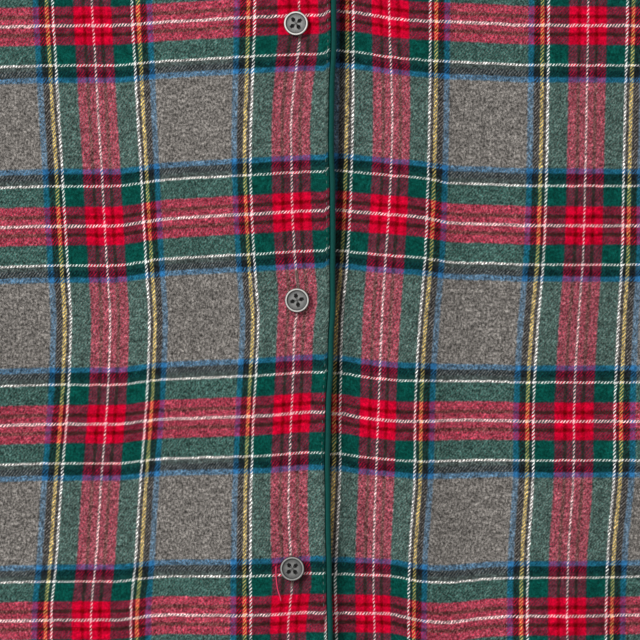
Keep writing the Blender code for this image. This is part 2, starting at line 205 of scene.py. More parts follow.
LEFT_FOLDS = in_metres([
    (56, 170, 52, 620, 4, 27), (118, 420, 150, 1110, 9, 44), (210, 600, 262, 1130, 9.5, 42),
    (244, 290, 152, 460, 7, 30), (172, 75, 186, 270, 5.5, 26), (70, 700, 82, 1080, 6, 32),
    (268, 276, 182, 366, 2.4, 9), (274, 330, 214, 352, 1.4, 7), (226, 170, 158, 250, 1.6, 8),
    (182, 455, 170, 610, 2.2, 11), (232, 420, 270, 580, 2.1, 10), (98, 560, 74, 690, 1.6, 10),
    (190, 640, 204, 800, 2.4, 12), (282, 700, 290, 890, 2, 9), (46, 830, 42, 980, 1.8, 10),
    (126, 820, 140, 985, 2.3, 11), (226, 860, 232, 990, 2.3, 12), (118, 125, 136, 215, 1.3, 9),
    (98, 300, 94, 410, 0.9, 12), (36, 505, 30, 585, 0.7, 7), (122, 240, 120, 450, 2.4, 34),
])
# The same for the sleeves' upper layer, in shares of the sleeve's width and length, but heights in metres:
# the large folds of both sleeves, then the creases of each
SLEEVE_FOLDS = [
    (0.90, 0.04, 0.30, 0.30, 0.0050, 0.13), (0.20, 0.30, 0.80, 0.52, 0.0045, 0.12),
    (0.75, 0.50, 0.25, 0.70, 0.0050, 0.12), (0.60, 0.66, 0.42, 1.25, 0.0040, 0.16),
]
RIGHT_SLEEVE_FOLDS = SLEEVE_FOLDS + [
    (0.96, 0.02, 0.52, 0.10, 0.0022, 0.040), (0.98, 0.10, 0.55, 0.22, 0.0019, 0.035),
    (0.08, 0.16, 0.52, 0.27, 0.0017, 0.040), (0.95, 0.34, 0.56, 0.40, 0.0020, 0.036),
    (0.06, 0.42, 0.40, 0.50, 0.0018, 0.040), (0.92, 0.58, 0.52, 0.66, 0.0018, 0.036),
    (0.12, 0.66, 0.36, 0.86, 0.0020, 0.045), (0.86, 0.78, 0.72, 1.08, 0.0019, 0.045),
    (0.28, 0.90, 0.22, 1.10, 0.0014, 0.040),
]
LEFT_SLEEVE_FOLDS = SLEEVE_FOLDS + [
    (0.95, 0.03, 0.60, 0.13, 0.0020, 0.038), (0.97, 0.16, 0.48, 0.25, 0.0022, 0.038),
    (0.10, 0.10, 0.44, 0.20, 0.0015, 0.038), (0.05, 0.36, 0.46, 0.44, 0.0020, 0.040),
    (0.94, 0.44, 0.60, 0.54, 0.0017, 0.034), (0.08, 0.56, 0.34, 0.64, 0.0018, 0.040),
    (0.90, 0.66, 0.66, 0.84, 0.0021, 0.040), (0.20, 0.74, 0.26, 1.00, 0.0018, 0.045),
    (0.80, 0.92, 0.76, 1.10, 0.0014, 0.036),
]

# How far the lap's piped edge strays from straight, in millimetres, at drops in millimetres
LAP_EDGE_CHART = [
    (190, 0.3), (224, 0.95), (243, 1.05), (271, 0.05), (299, 0.0), (313, 0.5), (341, 0.55), (370, 0.45),
    (384, -0.2), (398, -0.55), (412, -1.35), (440, -1.85), (468, -1.6), (497, -1.05), (511, -0.85),
    (570, 0.3), (660, -0.5), (760, 0.4), (880, -0.3), (955, 0.1),
]
LAP_LEAN_WIDTH = 0.012
LAP_EDGE_TUCK = 0.0003
# How far the loose lap edge springs up
LAP_SPRING = 0.0018
LAP_SPRING_WIDTH = 0.013

# The doubled button band lifts both fronts along the middle: how far, in millimetres at drops in
# millimetres, its edge falls off steeply and then gently
BAND_CHART = [
    (110, 1.1, 0.6), (190, 3.3, 0.8), (320, 3.3, 0.8), (350, 3.0, 0.2), (385, 3.0, 0.2), (415, 3.3, 1.0),
    (470, 3.3, 1.8), (530, 3.3, 2.3), (700, 1.4, 1.2), (950, 0.4, 0.3),
]
# On the left front both falls start at the band's end, each over its width, and on the lap one fall is wider
BAND_END = 0.0166
BAND_FALLS = (0.0062, 0.021)
LAP_FALL = 0.062

# How deep the painted shadow beside the piping is, from 0 to 1 at drops in millimetres, and how far it
# reaches
SEAM_SHADE_CHART = [
    (190, 0.35), (233, 0.50), (337, 0.50), (388, 0.62), (405, 0.55), (431, 0.35), (454, 0.20), (480, 0.45),
    (502, 0.15), (530, 0.12), (600, 0.30), (950, 0.30),
]
SEAM_SHADE_WIDTH = 0.0024
SEAM_SHADE_FADE = 0.0022

# Gentle unevenness of the whole cloth, and of its outline outside a stretch beside the button line
SWELL = 0.00016
SWELL_LENGTH = 0.030
STRAY = 0.0026
STRAY_FREE = (0.105, 0.100)

# Tartan: widths from the middle of the red to the middle of the grey, where it mirrors, in millimetres
HALF_SETT = 46.53
WARP_BANDS = [
    (0.54, "rose"), (3.35, "red"), (4.90, "claret"), (8.95, "red"), (18.00, "green"), (19.26, "white"),
    (20.60, "black"), (22.36, "yellow"), (25.35, "black"), (28.00, "blue"), (HALF_SETT, "grey"),
]
WEFT_BANDS = [
    (0.74, "rose"), (3.35, "red"), (5.05, "claret"), (9.00, "red"), (17.95, "green"), (19.05, "white"),
    (21.10, "pine"), (24.10, "ink"), (26.55, "blue"), (HALF_SETT, "grey"),
]
# How strongly each yarn's fibres are mixed; the material also tells the black and the ink yarn by it
YARN_MELANGE = {
    "red": 0.35, "claret": 0.40, "green": 0.55, "pine": 0.60, "black": 0.80, "ink": 0.65, "grey": 1.0,
    "blue": 0.45, "yellow": 0.30, "white": 0.15, "rose": 0.25,
}
# Half the width over which one yarn gives way to the next: brushed ones run together, bright ones stay crisp
BRIGHT_YARNS = {"white", "yellow", "rose"}
SOFT_EDGE = 0.42
CRISP_EDGE = 0.24
TWILL_ACROSS = 1.44
TWILL_ALONG = 1.75

# How the cloth lies: where some stripes pass, charted in millimetres. The stripes are named by their
# place in the sett. A warp chart's row is a drop and where each stripe passes there, from the button line,
# and a weft chart's row is a place across and how far below the high point each stripe passes there
RIGHT_WARP_STRIPES = (-74.43, -18.61, 0.0, 18.61)
RIGHT_WARP_CHART = [
    (224, -76.8, -18.8, 1.9, 20.5), (240, -76.1, -19.1, 2.4, 21.0), (252, -75.3, -19.5, 1.2, 19.8),
    (265, -74.6, -20.0, -0.5, 18.1), (282, -73.6, -20.6, -1.8, 16.8), (299, -72.5, -20.9, -1.6, 17.0),
    (316, -71.6, -20.5, -1.4, 17.2), (327, -71.0, -20.1, -1.1, 17.5), (338, -70.3, -19.5, -0.4, 18.2),
    (350, -69.6, -18.8, 0.4, 19.0), (356, -69.2, -18.4, 1.2, 19.8), (363, -68.7, -17.8, 1.6, 20.2),
    (372, -68.2, -17.1, 0.7, 19.3), (378, -68.2, -17.2, -0.1, 18.5), (389, -68.5, -17.6, -0.6, 18.0),
    (400, -68.9, -18.3, -0.8, 17.8), (412, -69.5, -19.0, -1.4, 17.2), (423, -70.3, -19.5, -1.9, 16.7),
    (440, -71.7, -20.1, -2.5, 16.1), (457, -73.0, -20.6, -3.0, 15.6), (474, -74.1, -20.7, -2.6, 16.0),
    (485, -74.8, -20.8, -1.9, 16.7), (496, -75.8, -20.8, -1.2, 17.4), (508, -77.0, -20.6, -2.3, 15.7),
    (519, -77.2, -20.6, -3.2, 14.25),
]
LEFT_WARP_STRIPES = (-18.61, 0.0, 18.61, 28.0, 65.06)
LEFT_WARP_CHART = [
    (224, 27.4, 44.2, 63.5, 72.8, 109.9), (280, 27.1, 45.8, 63.0, 72.3, 109.4),
    (318, 26.1, 44.5, 62.0, 71.4, 108.5), (346, 24.6, 42.6, 60.9, 70.2, 107.3),
    (374, 22.1, 41.0, 58.5, 67.8, 104.9), (412, 21.1, 39.5, 56.4, 65.7, 102.8),
    (449, 20.8, 38.1, 56.0, 64.8, 102.4), (480, 19.4, 37.1, 54.0, 62.5, 100.4),
    (500, 18.7, 37.0, 53.4, 61.9, 99.8), (517, 19.2, 37.4, 53.2, 61.7, 99.7),
]
WEFT_STRIPES = (0.0, 93.06, 186.12, 232.65, 279.18)
RIGHT_WEFT_CHART = [
    (-86.0, 235.8, 330.1, 423.2, 469.7, 515.2), (-63.4, 234.4, 327.2, 420.9, 467.4, 512.9),
    (-44.6, 233.6, 325.8, 420.2, 466.9, 512.7), (-15.5, 232.2, 324.3, 419.1, 466.2, 512.4),
    (8.9, 231.5, 323.0, 417.4, 464.8, 511.2),
]
LEFT_WEFT_CHART = [
    (20.2, 229.2, 322.6, 418.2, 465.6, 511.9), (30.5, 229.9, 323.5, 419.9, 466.5, 512.1),
    (45.6, 232.5, 324.7, 421.6, 467.4, 512.4), (58.8, 233.7, 325.9, 421.8, 469.0, 515.3),
    (72.8, 234.0, 328.5, 421.4, 469.3, 516.3), (91.6, 234.7, 329.2, 421.4, 468.3, 514.1),
    (110.4, 235.6, 329.9, 421.9, 468.0, 513.2),
]
HOOK_START = 13.2
HOOK_END = 16.4
HOOK_RISE = 1.9
# The charted window, and how the stripes stray outside it
WINDOW_MIDDLE = (11.0, 374.0)
WINDOW_HALF = 155.0
FAR_STRAY = 3.0
FAR_STRAY_FADE = 90
# Where the tartan falls on the other pieces, across and up, in millimetres
BACK_MATCH = 11
SLEEVE_MATCH = (21, 30)
COLLAR_MATCH = (46.5, -40)
# Cloth round a sleeve's fold and round the piping, and where the collar's stand, roll and fall start and how
# deep each is, in millimetres
FOLD_ROUND = 2.4
PIPING_ROUND = 8.6
COLLAR_DEPTHS = {"stand": (0.0, 34.0), "roll": (34.0, 4.0), "fall": (38.0, 62.0)}

# Stage: the camera looks straight down on a square of the lap, at the level where the cloth lies
VIEW_MIDDLE = (0.01175, 0.0900)
VIEW_WIDTH = 0.3008
VIEW_LEVEL = 0.0045
SENSOR_WIDTH = 36.0
KEY_PLACE = (-2.90, 2.25, 3.00)
KEY_SIZE = 1.8
FLOOR_RADIUS = 3.6
FLOOR_RIM = 0.4
FLOOR_LEVEL = -0.0004


# Small tools

def smooth(t):
    t = min(1.0, max(0.0, t))
    return t * t * (3 - 2 * t)


def lerp(a, b, t):
    return a + (b - a) * t


def graded(start, *runs):
    """Values from start on, through runs of (step, end)."""
    values = [start]
    for step, end in runs:
        first = values[-1]
        count = max(1, round(abs(end - first) / step))
        values += [lerp(first, end, k / count) for k in range(1, count + 1)]
    return values


def spline(chart, at, column=1):
    """A smooth curve through one column of a chart, level past its ends."""
    if at <= chart[0][0]:
        return chart[0][column]
    if at >= chart[-1][0]:
        return chart[-1][column]
    k = 0
    while chart[k + 1][0] < at:
        k += 1

    def slope(j):
        if j == 0 or j == len(chart) - 1:
            return 0.0
        return (chart[j + 1][column] - chart[j - 1][column]) / (chart[j + 1][0] - chart[j - 1][0])

    run = chart[k + 1][0] - chart[k][0]
    t = (at - chart[k][0]) / run
    return (chart[k][column] * (1 + 2 * t) * (1 - t) ** 2 + slope(k) * run * t * (1 - t) ** 2
            + chart[k + 1][column] * t * t * (3 - 2 * t) + slope(k + 1) * run * t * t * (t - 1))


def between_stripes(stripes, places, at):
    """Place in the sett of a point between stripes that pass at known places, one for one past them."""
    if at <= places[0]:
        return stripes[0] + at - places[0]
    if at >= places[-1]:
        return stripes[-1] + at - places[-1]
    k = 0
    while places[k + 1] < at:
        k += 1
    return lerp(stripes[k], stripes[k + 1], (at - places[k]) / (places[k + 1] - places[k]))


# Pattern of the body

def world(side, reach, drop, height):
    """A point from its side (-1 wearer's right, +1 wearer's left), reach, drop and height."""
    x = side * reach
    free = STRAY * smooth((abs(reach) - STRAY_FREE[0]) / STRAY_FREE[1])
    stray_x = free * math.sin(drop * 23 + side * 1.3) * math.cos(drop * 7.1 + 0.4)
    stray_y = free * math.sin(x * 19 + 0.8) * math.cos(x * 5.3 + drop * 2)
    return Vector((x + stray_x, Y_HIGH_POINT - drop + stray_y, height))


def hem_drop(reach):
    return LENGTH - HEM_RISE * (reach / HEM_HALF) ** 2


def armhole(t):
    """Reach and drop of the armhole's point, t = 0 at the underarm and 1 at the shoulder tip."""
    inward = 1 - (1 - t) ** ARMHOLE_CURVE
    return lerp(CHEST_HALF, SHOULDER_HALF, inward), lerp(ARMHOLE_DROP, SHOULDER_DROP, t)


def outline_reach(drop):
    """Reach of the side seam or armhole at a drop."""
    if drop >= ARMHOLE_DROP:
        return lerp(CHEST_HALF, HEM_HALF, (drop - ARMHOLE_DROP) / (LENGTH - ARMHOLE_DROP))
    return armhole(min(1.0, (ARMHOLE_DROP - drop) / (ARMHOLE_DROP - SHOULDER_DROP)))[0]


def shoulder_drop(reach):
    return SHOULDER_DROP * (reach - NECK_HALF) / (SHOULDER_HALF - NECK_HALF)


def panel_top(middle, neck_drop):
    """Where the column at this reach of the underarm level meets the neckline or the shoulder."""
    if middle <= LAP_RAMP_END:
        return middle, neck_drop * math.cos(math.asin(middle / NECK_HALF))
    if middle <= NECK_END:
        first = math.asin(LAP_RAMP_END / NECK_HALF)
        angle = lerp(first, math.pi / 2, (middle - LAP_RAMP_END) / (NECK_END - LAP_RAMP_END))
        return NECK_HALF * math.sin(angle), neck_drop * math.cos(angle)
    reach = lerp(NECK_HALF, SHOULDER_HALF, (middle - NECK_END) / (CHEST_HALF - NECK_END))
    return reach, shoulder_drop(reach)


def panel_point(middle, neck_drop, level):
    """Reach and drop of a panel's corner: level 0 is the hem, 1 the underarm, 2 the top edge."""
    if level <= 1:
        spread = (HEM_HALF - LAP_RAMP_END) / (CHEST_HALF - LAP_RAMP_END)
        hem = middle if middle <= LAP_RAMP_END else LAP_RAMP_END + (middle - LAP_RAMP_END) * spread
        return lerp(hem, middle, level), lerp(hem_drop(hem), ARMHOLE_DROP, level)
    t = level - 1
    top_reach, top_drop = panel_top(middle, neck_drop)
    bow = max(0.0, middle / CHEST_HALF) ** 2 * (armhole(t)[0] - lerp(CHEST_HALF, SHOULDER_HALF, t))
    return lerp(middle, top_reach, t) + bow, lerp(ARMHOLE_DROP, top_drop, t)


# Heights

def seam_hold(reach, drop, neck_drop):
    """0 on the shoulder, side, armhole and neck seams, rising to 1 in the open panel."""
    from_shoulder = drop - shoulder_drop(reach)
    from_side = outline_reach(drop) - reach
    from_neck = (math.hypot(reach / NECK_HALF, max(0.0, drop) / neck_drop) - 1) * neck_drop
    return (smooth(from_shoulder / SEAM_HOLD) * smooth(from_side / SEAM_HOLD)
            * smooth(from_neck / SEAM_HOLD))


def seam_dip(reach, drop):
    """How far the cloth sinks into the shoulder, armhole and side seams."""
    near = min(drop - shoulder_drop(reach), outline_reach(drop) - reach)
    return SEAM_DIP * (1 - smooth(near / SEAM_DIP_WIDTH))


def hem_relief(from_edge):
    """The turned hem's doubled cloth and the groove that its stitching pulls in."""
    step = HEM_STEP * (1 - smooth((from_edge - HEM_TURN) / HEM_STEP_WIDTH + 0.5))
    groove = STITCH_GROOVE * math.exp(-((from_edge - HEM_TURN) / STITCH_GROOVE_WIDTH) ** 2)
    return step - groove


def ridge(across, along, half_width):
    """Share of a fold's height: 1 on its ridge, 0 past its sides and ends."""
    if abs(across) >= half_width or not 0 < along < 1:
        return 0.0
    return math.cos(across / half_width * math.pi / 2) ** 2 * math.sin(math.pi * along) ** 0.8


def folds_height(folds, across, along):
    """Height of a table's ridges at a point."""
    total = 0.0
    for top_x, top_y, end_x, end_y, height, half_width in folds:
        run_x, run_y = end_x - top_x, end_y - top_y
        x, y = across - top_x, along - top_y
        length = math.hypot(run_x, run_y)
        aside = (x * run_y - y * run_x) / length
        if abs(aside) < half_width:
            total += height * ridge(aside, (x * run_x + y * run_y) / length ** 2, half_width)
    return total


def neck_lift(reach, drop):
    beside = 1 - smooth((abs(reach) - LIFT_REACH[0]) / (LIFT_REACH[1] - LIFT_REACH[0]))
    below = 1 - smooth((drop - LIFT_DROP[0]) / (LIFT_DROP[1] - LIFT_DROP[0]))
    return NECK_LIFT * beside * below


def back_height(reach, drop):
    """Middle of the back panel's wall above the surface."""
    return CLOTH / 2 + neck_lift(reach, drop)


def swell(x, drop):
    """Gentle unevenness that every cloth has when it is laid out."""
    spot = Vector((x / SWELL_LENGTH, drop / SWELL_LENGTH, 0.5))
    return SWELL * (noise.noise(spot) + 0.6 * noise.noise(spot * 2.3))


def front_height(side, reach, drop):
    """Middle of a front panel's wall: on the back, and on the other front where the lap covers it."""
    hold = seam_hold(abs(reach), drop, FRONT_NECK_DROP)
    folds = folds_height(RIGHT_FOLDS if side < 0 else LEFT_FOLDS, reach, drop)
    relief = LOFT + folds + swell(side * reach, drop)
    height = back_height(reach, drop) + LAYER + hold * relief
    band = [hold * spline(BAND_CHART, drop * 1000, column) / 1000 for column in (1, 2)]
    if side > 0:
        for lift, fall in zip(band, BAND_FALLS):
            height += lift * (1 - smooth((reach - BAND_END) / fall))
        return height
    height += (LAYER + LAP_EASE + sum(band)) * (1 - smooth((reach - LAP_END) / LAP_FALL))
    return height + hold * LAP_SPRING * (1 - smooth((reach + RIGHT_LAP) / LAP_SPRING_WIDTH))


def edge_stray(drop):
    """How far towards the wearer's left the lap's piped edge strays at a drop."""
    return spline(LAP_EDGE_CHART, drop * 1000) / 1000 + 0.00007 * math.sin(drop * 210)


def leaned(side, reach, drop):
    """The reach of a point of a front once the lap's edge has strayed."""
    if side > 0:
        return reach
    return reach - (edge_stray(drop) - LAP_EDGE_TUCK) * (1 - smooth((reach + RIGHT_LAP) / LAP_LEAN_WIDTH))


# The tartan's place on the cloth: millimetres across from the red's middle, and up from it

def far_stray(x, drop, turn):
    """Slow wandering of the stripes outside the charted window."""
    outside = max(abs(x - WINDOW_MIDDLE[0]), abs(drop - WINDOW_MIDDLE[1])) - WINDOW_HALF
    fade = smooth(outside / FAR_STRAY_FADE)
    return FAR_STRAY * fade * math.sin(drop / 71 + turn) * math.cos(x / 93 + 0.7 * turn)


def front_fabric(side, reach, drop):
    """Where a point of a front lies in the tartan."""
    x, down = side * reach * 1000, drop * 1000
    warp_stripes, warp_chart, weft_chart = (
        (RIGHT_WARP_STRIPES, RIGHT_WARP_CHART, RIGHT_WEFT_CHART) if side < 0
        else (LEFT_WARP_STRIPES, LEFT_WARP_CHART, LEFT_WEFT_CHART))
    passing = [spline(warp_chart, down, k + 1) for k in range(len(warp_stripes))]
    across = between_stripes(warp_stripes, passing, x) + far_stray(x, down, 0.0)
    if side < 0:
        down += HOOK_RISE * smooth((x - HOOK_START) / (HOOK_END - HOOK_START))
    passing = [spline(weft_chart, x, k + 1) for k in range(len(WEFT_STRIPES))]
    return across, -between_stripes(WEFT_STRIPES, passing, down) + far_stray(x, down, 1.9)


# Cloth pieces

def deselect():
    bpy.ops.object.select_all(action="DESELECT")


def face_outwards(merge=False):
    """Turns the active piece's faces outwards, after merging corners that share a place where asked."""
    bpy.ops.object.mode_set(mode="EDIT")
    bpy.ops.mesh.select_all(action="SELECT")
    if merge:
        bpy.ops.mesh.remove_doubles(threshold=0.00001)
    bpy.ops.mesh.normals_make_consistent(inside=False)
    bpy.ops.object.mode_set(mode="OBJECT")


def soften_edges(piece, limit, width):
    """Rounds the active piece's edges that turn by more than a limit in degrees."""
    soft = piece.modifiers.new("soft edge", "BEVEL")
    soft.limit_method = "ANGLE"
    soft.angle_limit = math.radians(limit)
    soft.width = width
    soft.segments = 2
    bpy.ops.object.modifier_apply(modifier="soft edge")


def cloth_sheet(name, columns, rows, place, fabric, closed=False, wall=WALL):
    """A grid of columns by rows faces, each corner moved to place(column, row), then given its wall.

    fabric(column, row) is the tartan's place there. closed joins the last column to the first.
    """
    deselect()
    bpy.ops.mesh.primitive_grid_add(x_subdivisions=columns, y_subdivisions=rows, size=1.0)
    sheet = bpy.context.object
    sheet.name = sheet.data.name = name
    mesh = sheet.data
    points, spots = [], []
    for vertex in mesh.vertices:
        column = round((vertex.co.x + 0.5) * columns)
        row = round((vertex.co.y + 0.5) * rows)
        points.extend(place(column, row))
        spots.append(fabric(column, row))
    mesh.vertices.foreach_set("co", points)
    weave = mesh.uv_layers.active or mesh.uv_layers.new()
    weave.name = "fabric"
    weave.data.foreach_set("uv", [value for loop in mesh.loops for value in spots[loop.vertex_index]])
    face_outwards(merge=closed)
    if wall:
        thick = sheet.modifiers.new("wall", "SOLIDIFY")
        thick.thickness = wall
        thick.offset = 0.0
        thick.use_even_offset = True
        bpy.ops.object.modifier_apply(modifier="wall")
        soften_edges(sheet, 60, EDGE_ROUNDING)
    bpy.ops.object.shade_smooth()
    return sheet


def make_front(name, side, lap):
    middles = graded(-lap, (0.0004, -lap + 0.0024), (0.0020, 0.012), (0.0010, 0.025), (0.0020, 0.120),
                     (0.0040, 0.168), (0.0065, CHEST_HALF))
    drops = graded(LENGTH, (0.0018, 0.9440), (0.0007, 0.9365), (0.0050, 0.5300), (0.0023, ARMHOLE_DROP))
    levels = [(LENGTH - drop) / (LENGTH - ARMHOLE_DROP) for drop in drops]
    levels += graded(1.0, (0.013, 1.28), (0.030, 1.97), (0.008, 2.0))[1:]

    def spot(column, row):
        return panel_point(middles[column], FRONT_NECK_DROP, levels[row])

    def place(column, row):
        reach, drop = spot(column, row)
        height = front_height(side, reach, drop) - seam_dip(abs(reach), drop)
        height += hem_relief(hem_drop(reach) - drop)
        if side < 0:
            near = 1 - min(1.0, (reach + lap) / EDGE_ROLL)
            height -= EDGE_ROLL_DROP * (1 - math.sqrt(1 - near * near))
        return world(side, leaned(side, reach, drop), drop, height)

    def fabric(column, row):
        reach, drop = spot(column, row)
        return front_fabric(side, leaned(side, reach, drop), drop)

    sheet = cloth_sheet(name, len(middles) - 1, len(levels) - 1, place, fabric)
    # The left front gets the piping's painted shadow
    if side > 0:
        paint_piping_shadow(sheet)
    return sheet


def paint_piping_shadow(sheet):
    """Painted shadow of the piping on the cloth: how deep, from 0 to 1, rides on each corner of the mesh."""
    shade = sheet.data.attributes.new("shade", "FLOAT", "POINT")
    depths = []
    for vertex in sheet.data.vertices:
        drop = Y_HIGH_POINT - vertex.co.y
        beyond = vertex.co.x - piping_spot(drop)[0] - PIPING_WIDTH / 2
        fade = 1 - smooth((beyond - SEAM_SHADE_WIDTH) / SEAM_SHADE_FADE)
        depths.append(fade * spline(SEAM_SHADE_CHART, drop * 1000))
    shade.data.foreach_set("value", depths)


def make_back():
    half = graded(0.0, (0.008, CHEST_HALF))
    levels = graded(0.0, (0.0026, 0.026), (0.0012, 0.032), (0.011, 1.0), (0.040, 2.0))
    last = len(half) - 1

    def spot(column, row):
        side = -1 if column < last else 1
        return (side, *panel_point(half[abs(column - last)], BACK_NECK_DROP, levels[row]))

    def place(column, row):
        side, reach, drop = spot(column, row)
        return world(side, reach, drop, back_height(reach, drop))

    def fabric(column, row):
        side, reach, drop = spot(column, row)
        x, down = side * reach * 1000, drop * 1000
        return x + far_stray(x, down, 2.6), BACK_MATCH - down + far_stray(x, down, 0.6)

    return cloth_sheet("back_cloth", 2 * last, len(levels) - 1, place, fabric)


def sleeve_plan(across, along):
    """Reach and drop on a flat sleeve: across 0 is its top fold, along 0 is the armhole."""
    run, fall = math.cos(SLEEVE_ANGLE), math.sin(SLEEVE_ANGLE)
    reach, drop = armhole(1 - across)
    reach += 1.5 * GAP + UNDERARM_CLEAR * across ** 8
    end_reach = SHOULDER_HALF + SLEEVE_LENGTH * run - across * CUFF_WIDTH * fall
    end_drop = SHOULDER_DROP + SLEEVE_LENGTH * fall + across * CUFF_WIDTH * run
    return lerp(reach, end_reach, along), lerp(drop, end_drop, along)


def sleeve_rise(side, across, along):
    """How far the upper layer stands off its place at the folds and at the armhole."""
    folds = folds_height(RIGHT_SLEEVE_FOLDS if side < 0 else LEFT_SLEEVE_FOLDS, across, along)
    height = SLEEVE_LOFT + folds + swell(across * 0.17, side + along * 0.56)
    rise = height * math.sin(math.pi * across) ** 0.7 * smooth(along * 8)
    from_end = (1 - along) * SLEEVE_LENGTH
    return rise + hem_relief(from_end) - SEAM_DIP * (1 - smooth(along * SLEEVE_LENGTH / SEAM_DIP_WIDTH))


def sleeve_upper(side, across, along):
    """A point on the middle of the upper layer's wall."""
    reach, drop = sleeve_plan(across, along)
    height = WALL / 2 + SURFACE_EASE + LAYER + sleeve_rise(side, across, along)
    return world(side, reach, drop, height)


def make_sleeve(name, side):
    """A flat tube that starts and ends at the underarm: upper layer, top fold, lower layer, under fold."""
    low = WALL / 2 + SURFACE_EASE
    radius = LAYER / 2
    columns = [("upper", 1 - k / 48) for k in range(49)] + [("top_fold", k / 8) for k in range(1, 8)]
    columns += [("lower", k / 24) for k in range(25)] + [("under_fold", k / 8) for k in range(1, 9)]
    last = len(columns) - 1
    alongs = graded(0.0, (0.003, 0.012), (0.009, 0.960), (0.0014, 0.970), (0.0035, 1.0))
    outward = Vector((-math.sin(SLEEVE_ANGLE), math.cos(SLEEVE_ANGLE)))

    def place(column, row):
        layer, share = columns[column]
        along = alongs[row]
        if layer == "upper" or column == last:
            return sleeve_upper(side, 1.0 if column == last else share, along)
        if layer == "lower":
            reach, drop = sleeve_plan(share, along)
            return world(side, reach, drop, low)
        sign = 1 if layer == "under_fold" else -1
        reach, drop = sleeve_plan(1.0 if sign > 0 else 0.0, along)
        high = sleeve_upper(side, 1.0 if sign > 0 else 0.0, along).z
        angle = math.pi * (1 - share if sign > 0 else share)
        bend = (high - low) / 2
        out = radius * math.sin(angle)
        return world(side, reach + sign * out * outward.x, drop + sign * out * outward.y,
                     low + bend + bend * math.cos(angle))

    def fabric(column, row):
        layer, share = columns[column]
        along = alongs[row]
        run, fall = math.cos(SLEEVE_ANGLE), math.sin(SLEEVE_ANGLE)
        flat = {"upper": share, "lower": share, "top_fold": 0.0, "under_fold": 1.0}[layer]
        reach, drop = sleeve_plan(flat, along)
        x, y = (reach - SHOULDER_HALF) * 1000, (drop - SHOULDER_DROP) * 1000
        across, down = y * run - x * fall, x * run + y * fall
        around = {"upper": -across, "lower": across, "top_fold": (share - 0.5) * FOLD_ROUND,
                  "under_fold": across + share * FOLD_ROUND}[layer]
        match_around, match_along = SLEEVE_MATCH
        return (around + match_around * side + far_stray(x, y, 1.1 * side),
                match_along - down + far_stray(y, x, 2.2))

    return cloth_sheet(name, last, len(alongs) - 1, place, fabric, closed=True)


# Collar

def collar_lines(front, angle):
    """Seam, roll and fall edge at an angle round the neck, each as a reach and a drop."""
    share = angle / (math.pi / 2)
    neck_drop = FRONT_NECK_DROP if front else BACK_NECK_DROP
    seam = Vector(((NECK_HALF - GAP) * math.sin(angle),
                   (neck_drop - GAP) * math.cos(angle) - GAP * math.sin(angle)))
    rise = 1 - math.cos(angle)
    if front:
        start = FRONT_NECK_DROP - STAND_RISE_FRONT
        edge = Vector((lerp(POINT_REACH, FALL_SIDE_REACH, share), lerp(POINT_DROP, FALL_SIDE_DROP, share)))
        slope = Vector((FALL_SIDE_REACH - POINT_REACH, FALL_SIDE_DROP - POINT_DROP)).normalized()
        edge += FALL_BULGE * math.sin(math.pi * share) * Vector((-slope.y, slope.x))
    else:
        start = -ROLL_BACK_RISE
        edge = Vector((FALL_SIDE_REACH * math.sin(angle), lerp(FALL_BACK_DROP, FALL_SIDE_DROP, rise)))
    roll = Vector((ROLL_HALF * math.sin(angle), lerp(start, -ROLL_SIDE_RISE, rise)))
    return seam, roll, edge


def collar_point(side, front, angle, band, share):
    """Spot and height of the collar at an angle round the neck, on its stand, roll or fall."""
    seam, roll, edge = collar_lines(front, angle)
    if band == "stand":
        spot, fall = seam.lerp(roll, share), 0.0
    elif band == "roll":
        turn = math.pi * share
        spot = roll + (roll - seam).normalized() * ROLL_RADIUS * math.sin(turn)
        fall = (1 - math.cos(turn)) / 2
    else:
        spot, fall = roll.lerp(edge, share), 1.0
    if front:
        height = front_height(side, max(COLLAR_END, spot.x), spot.y) + fall * LAYER
        if band == "fall":
            height += FALL_EASE * smooth((spot - roll).length / FALL_EASE_WIDTH)
    else:
        height = lerp(CLOTH / 2 + NECK_LIFT, CLOTH / 2 + SURFACE_EASE, fall)
    return spot, height


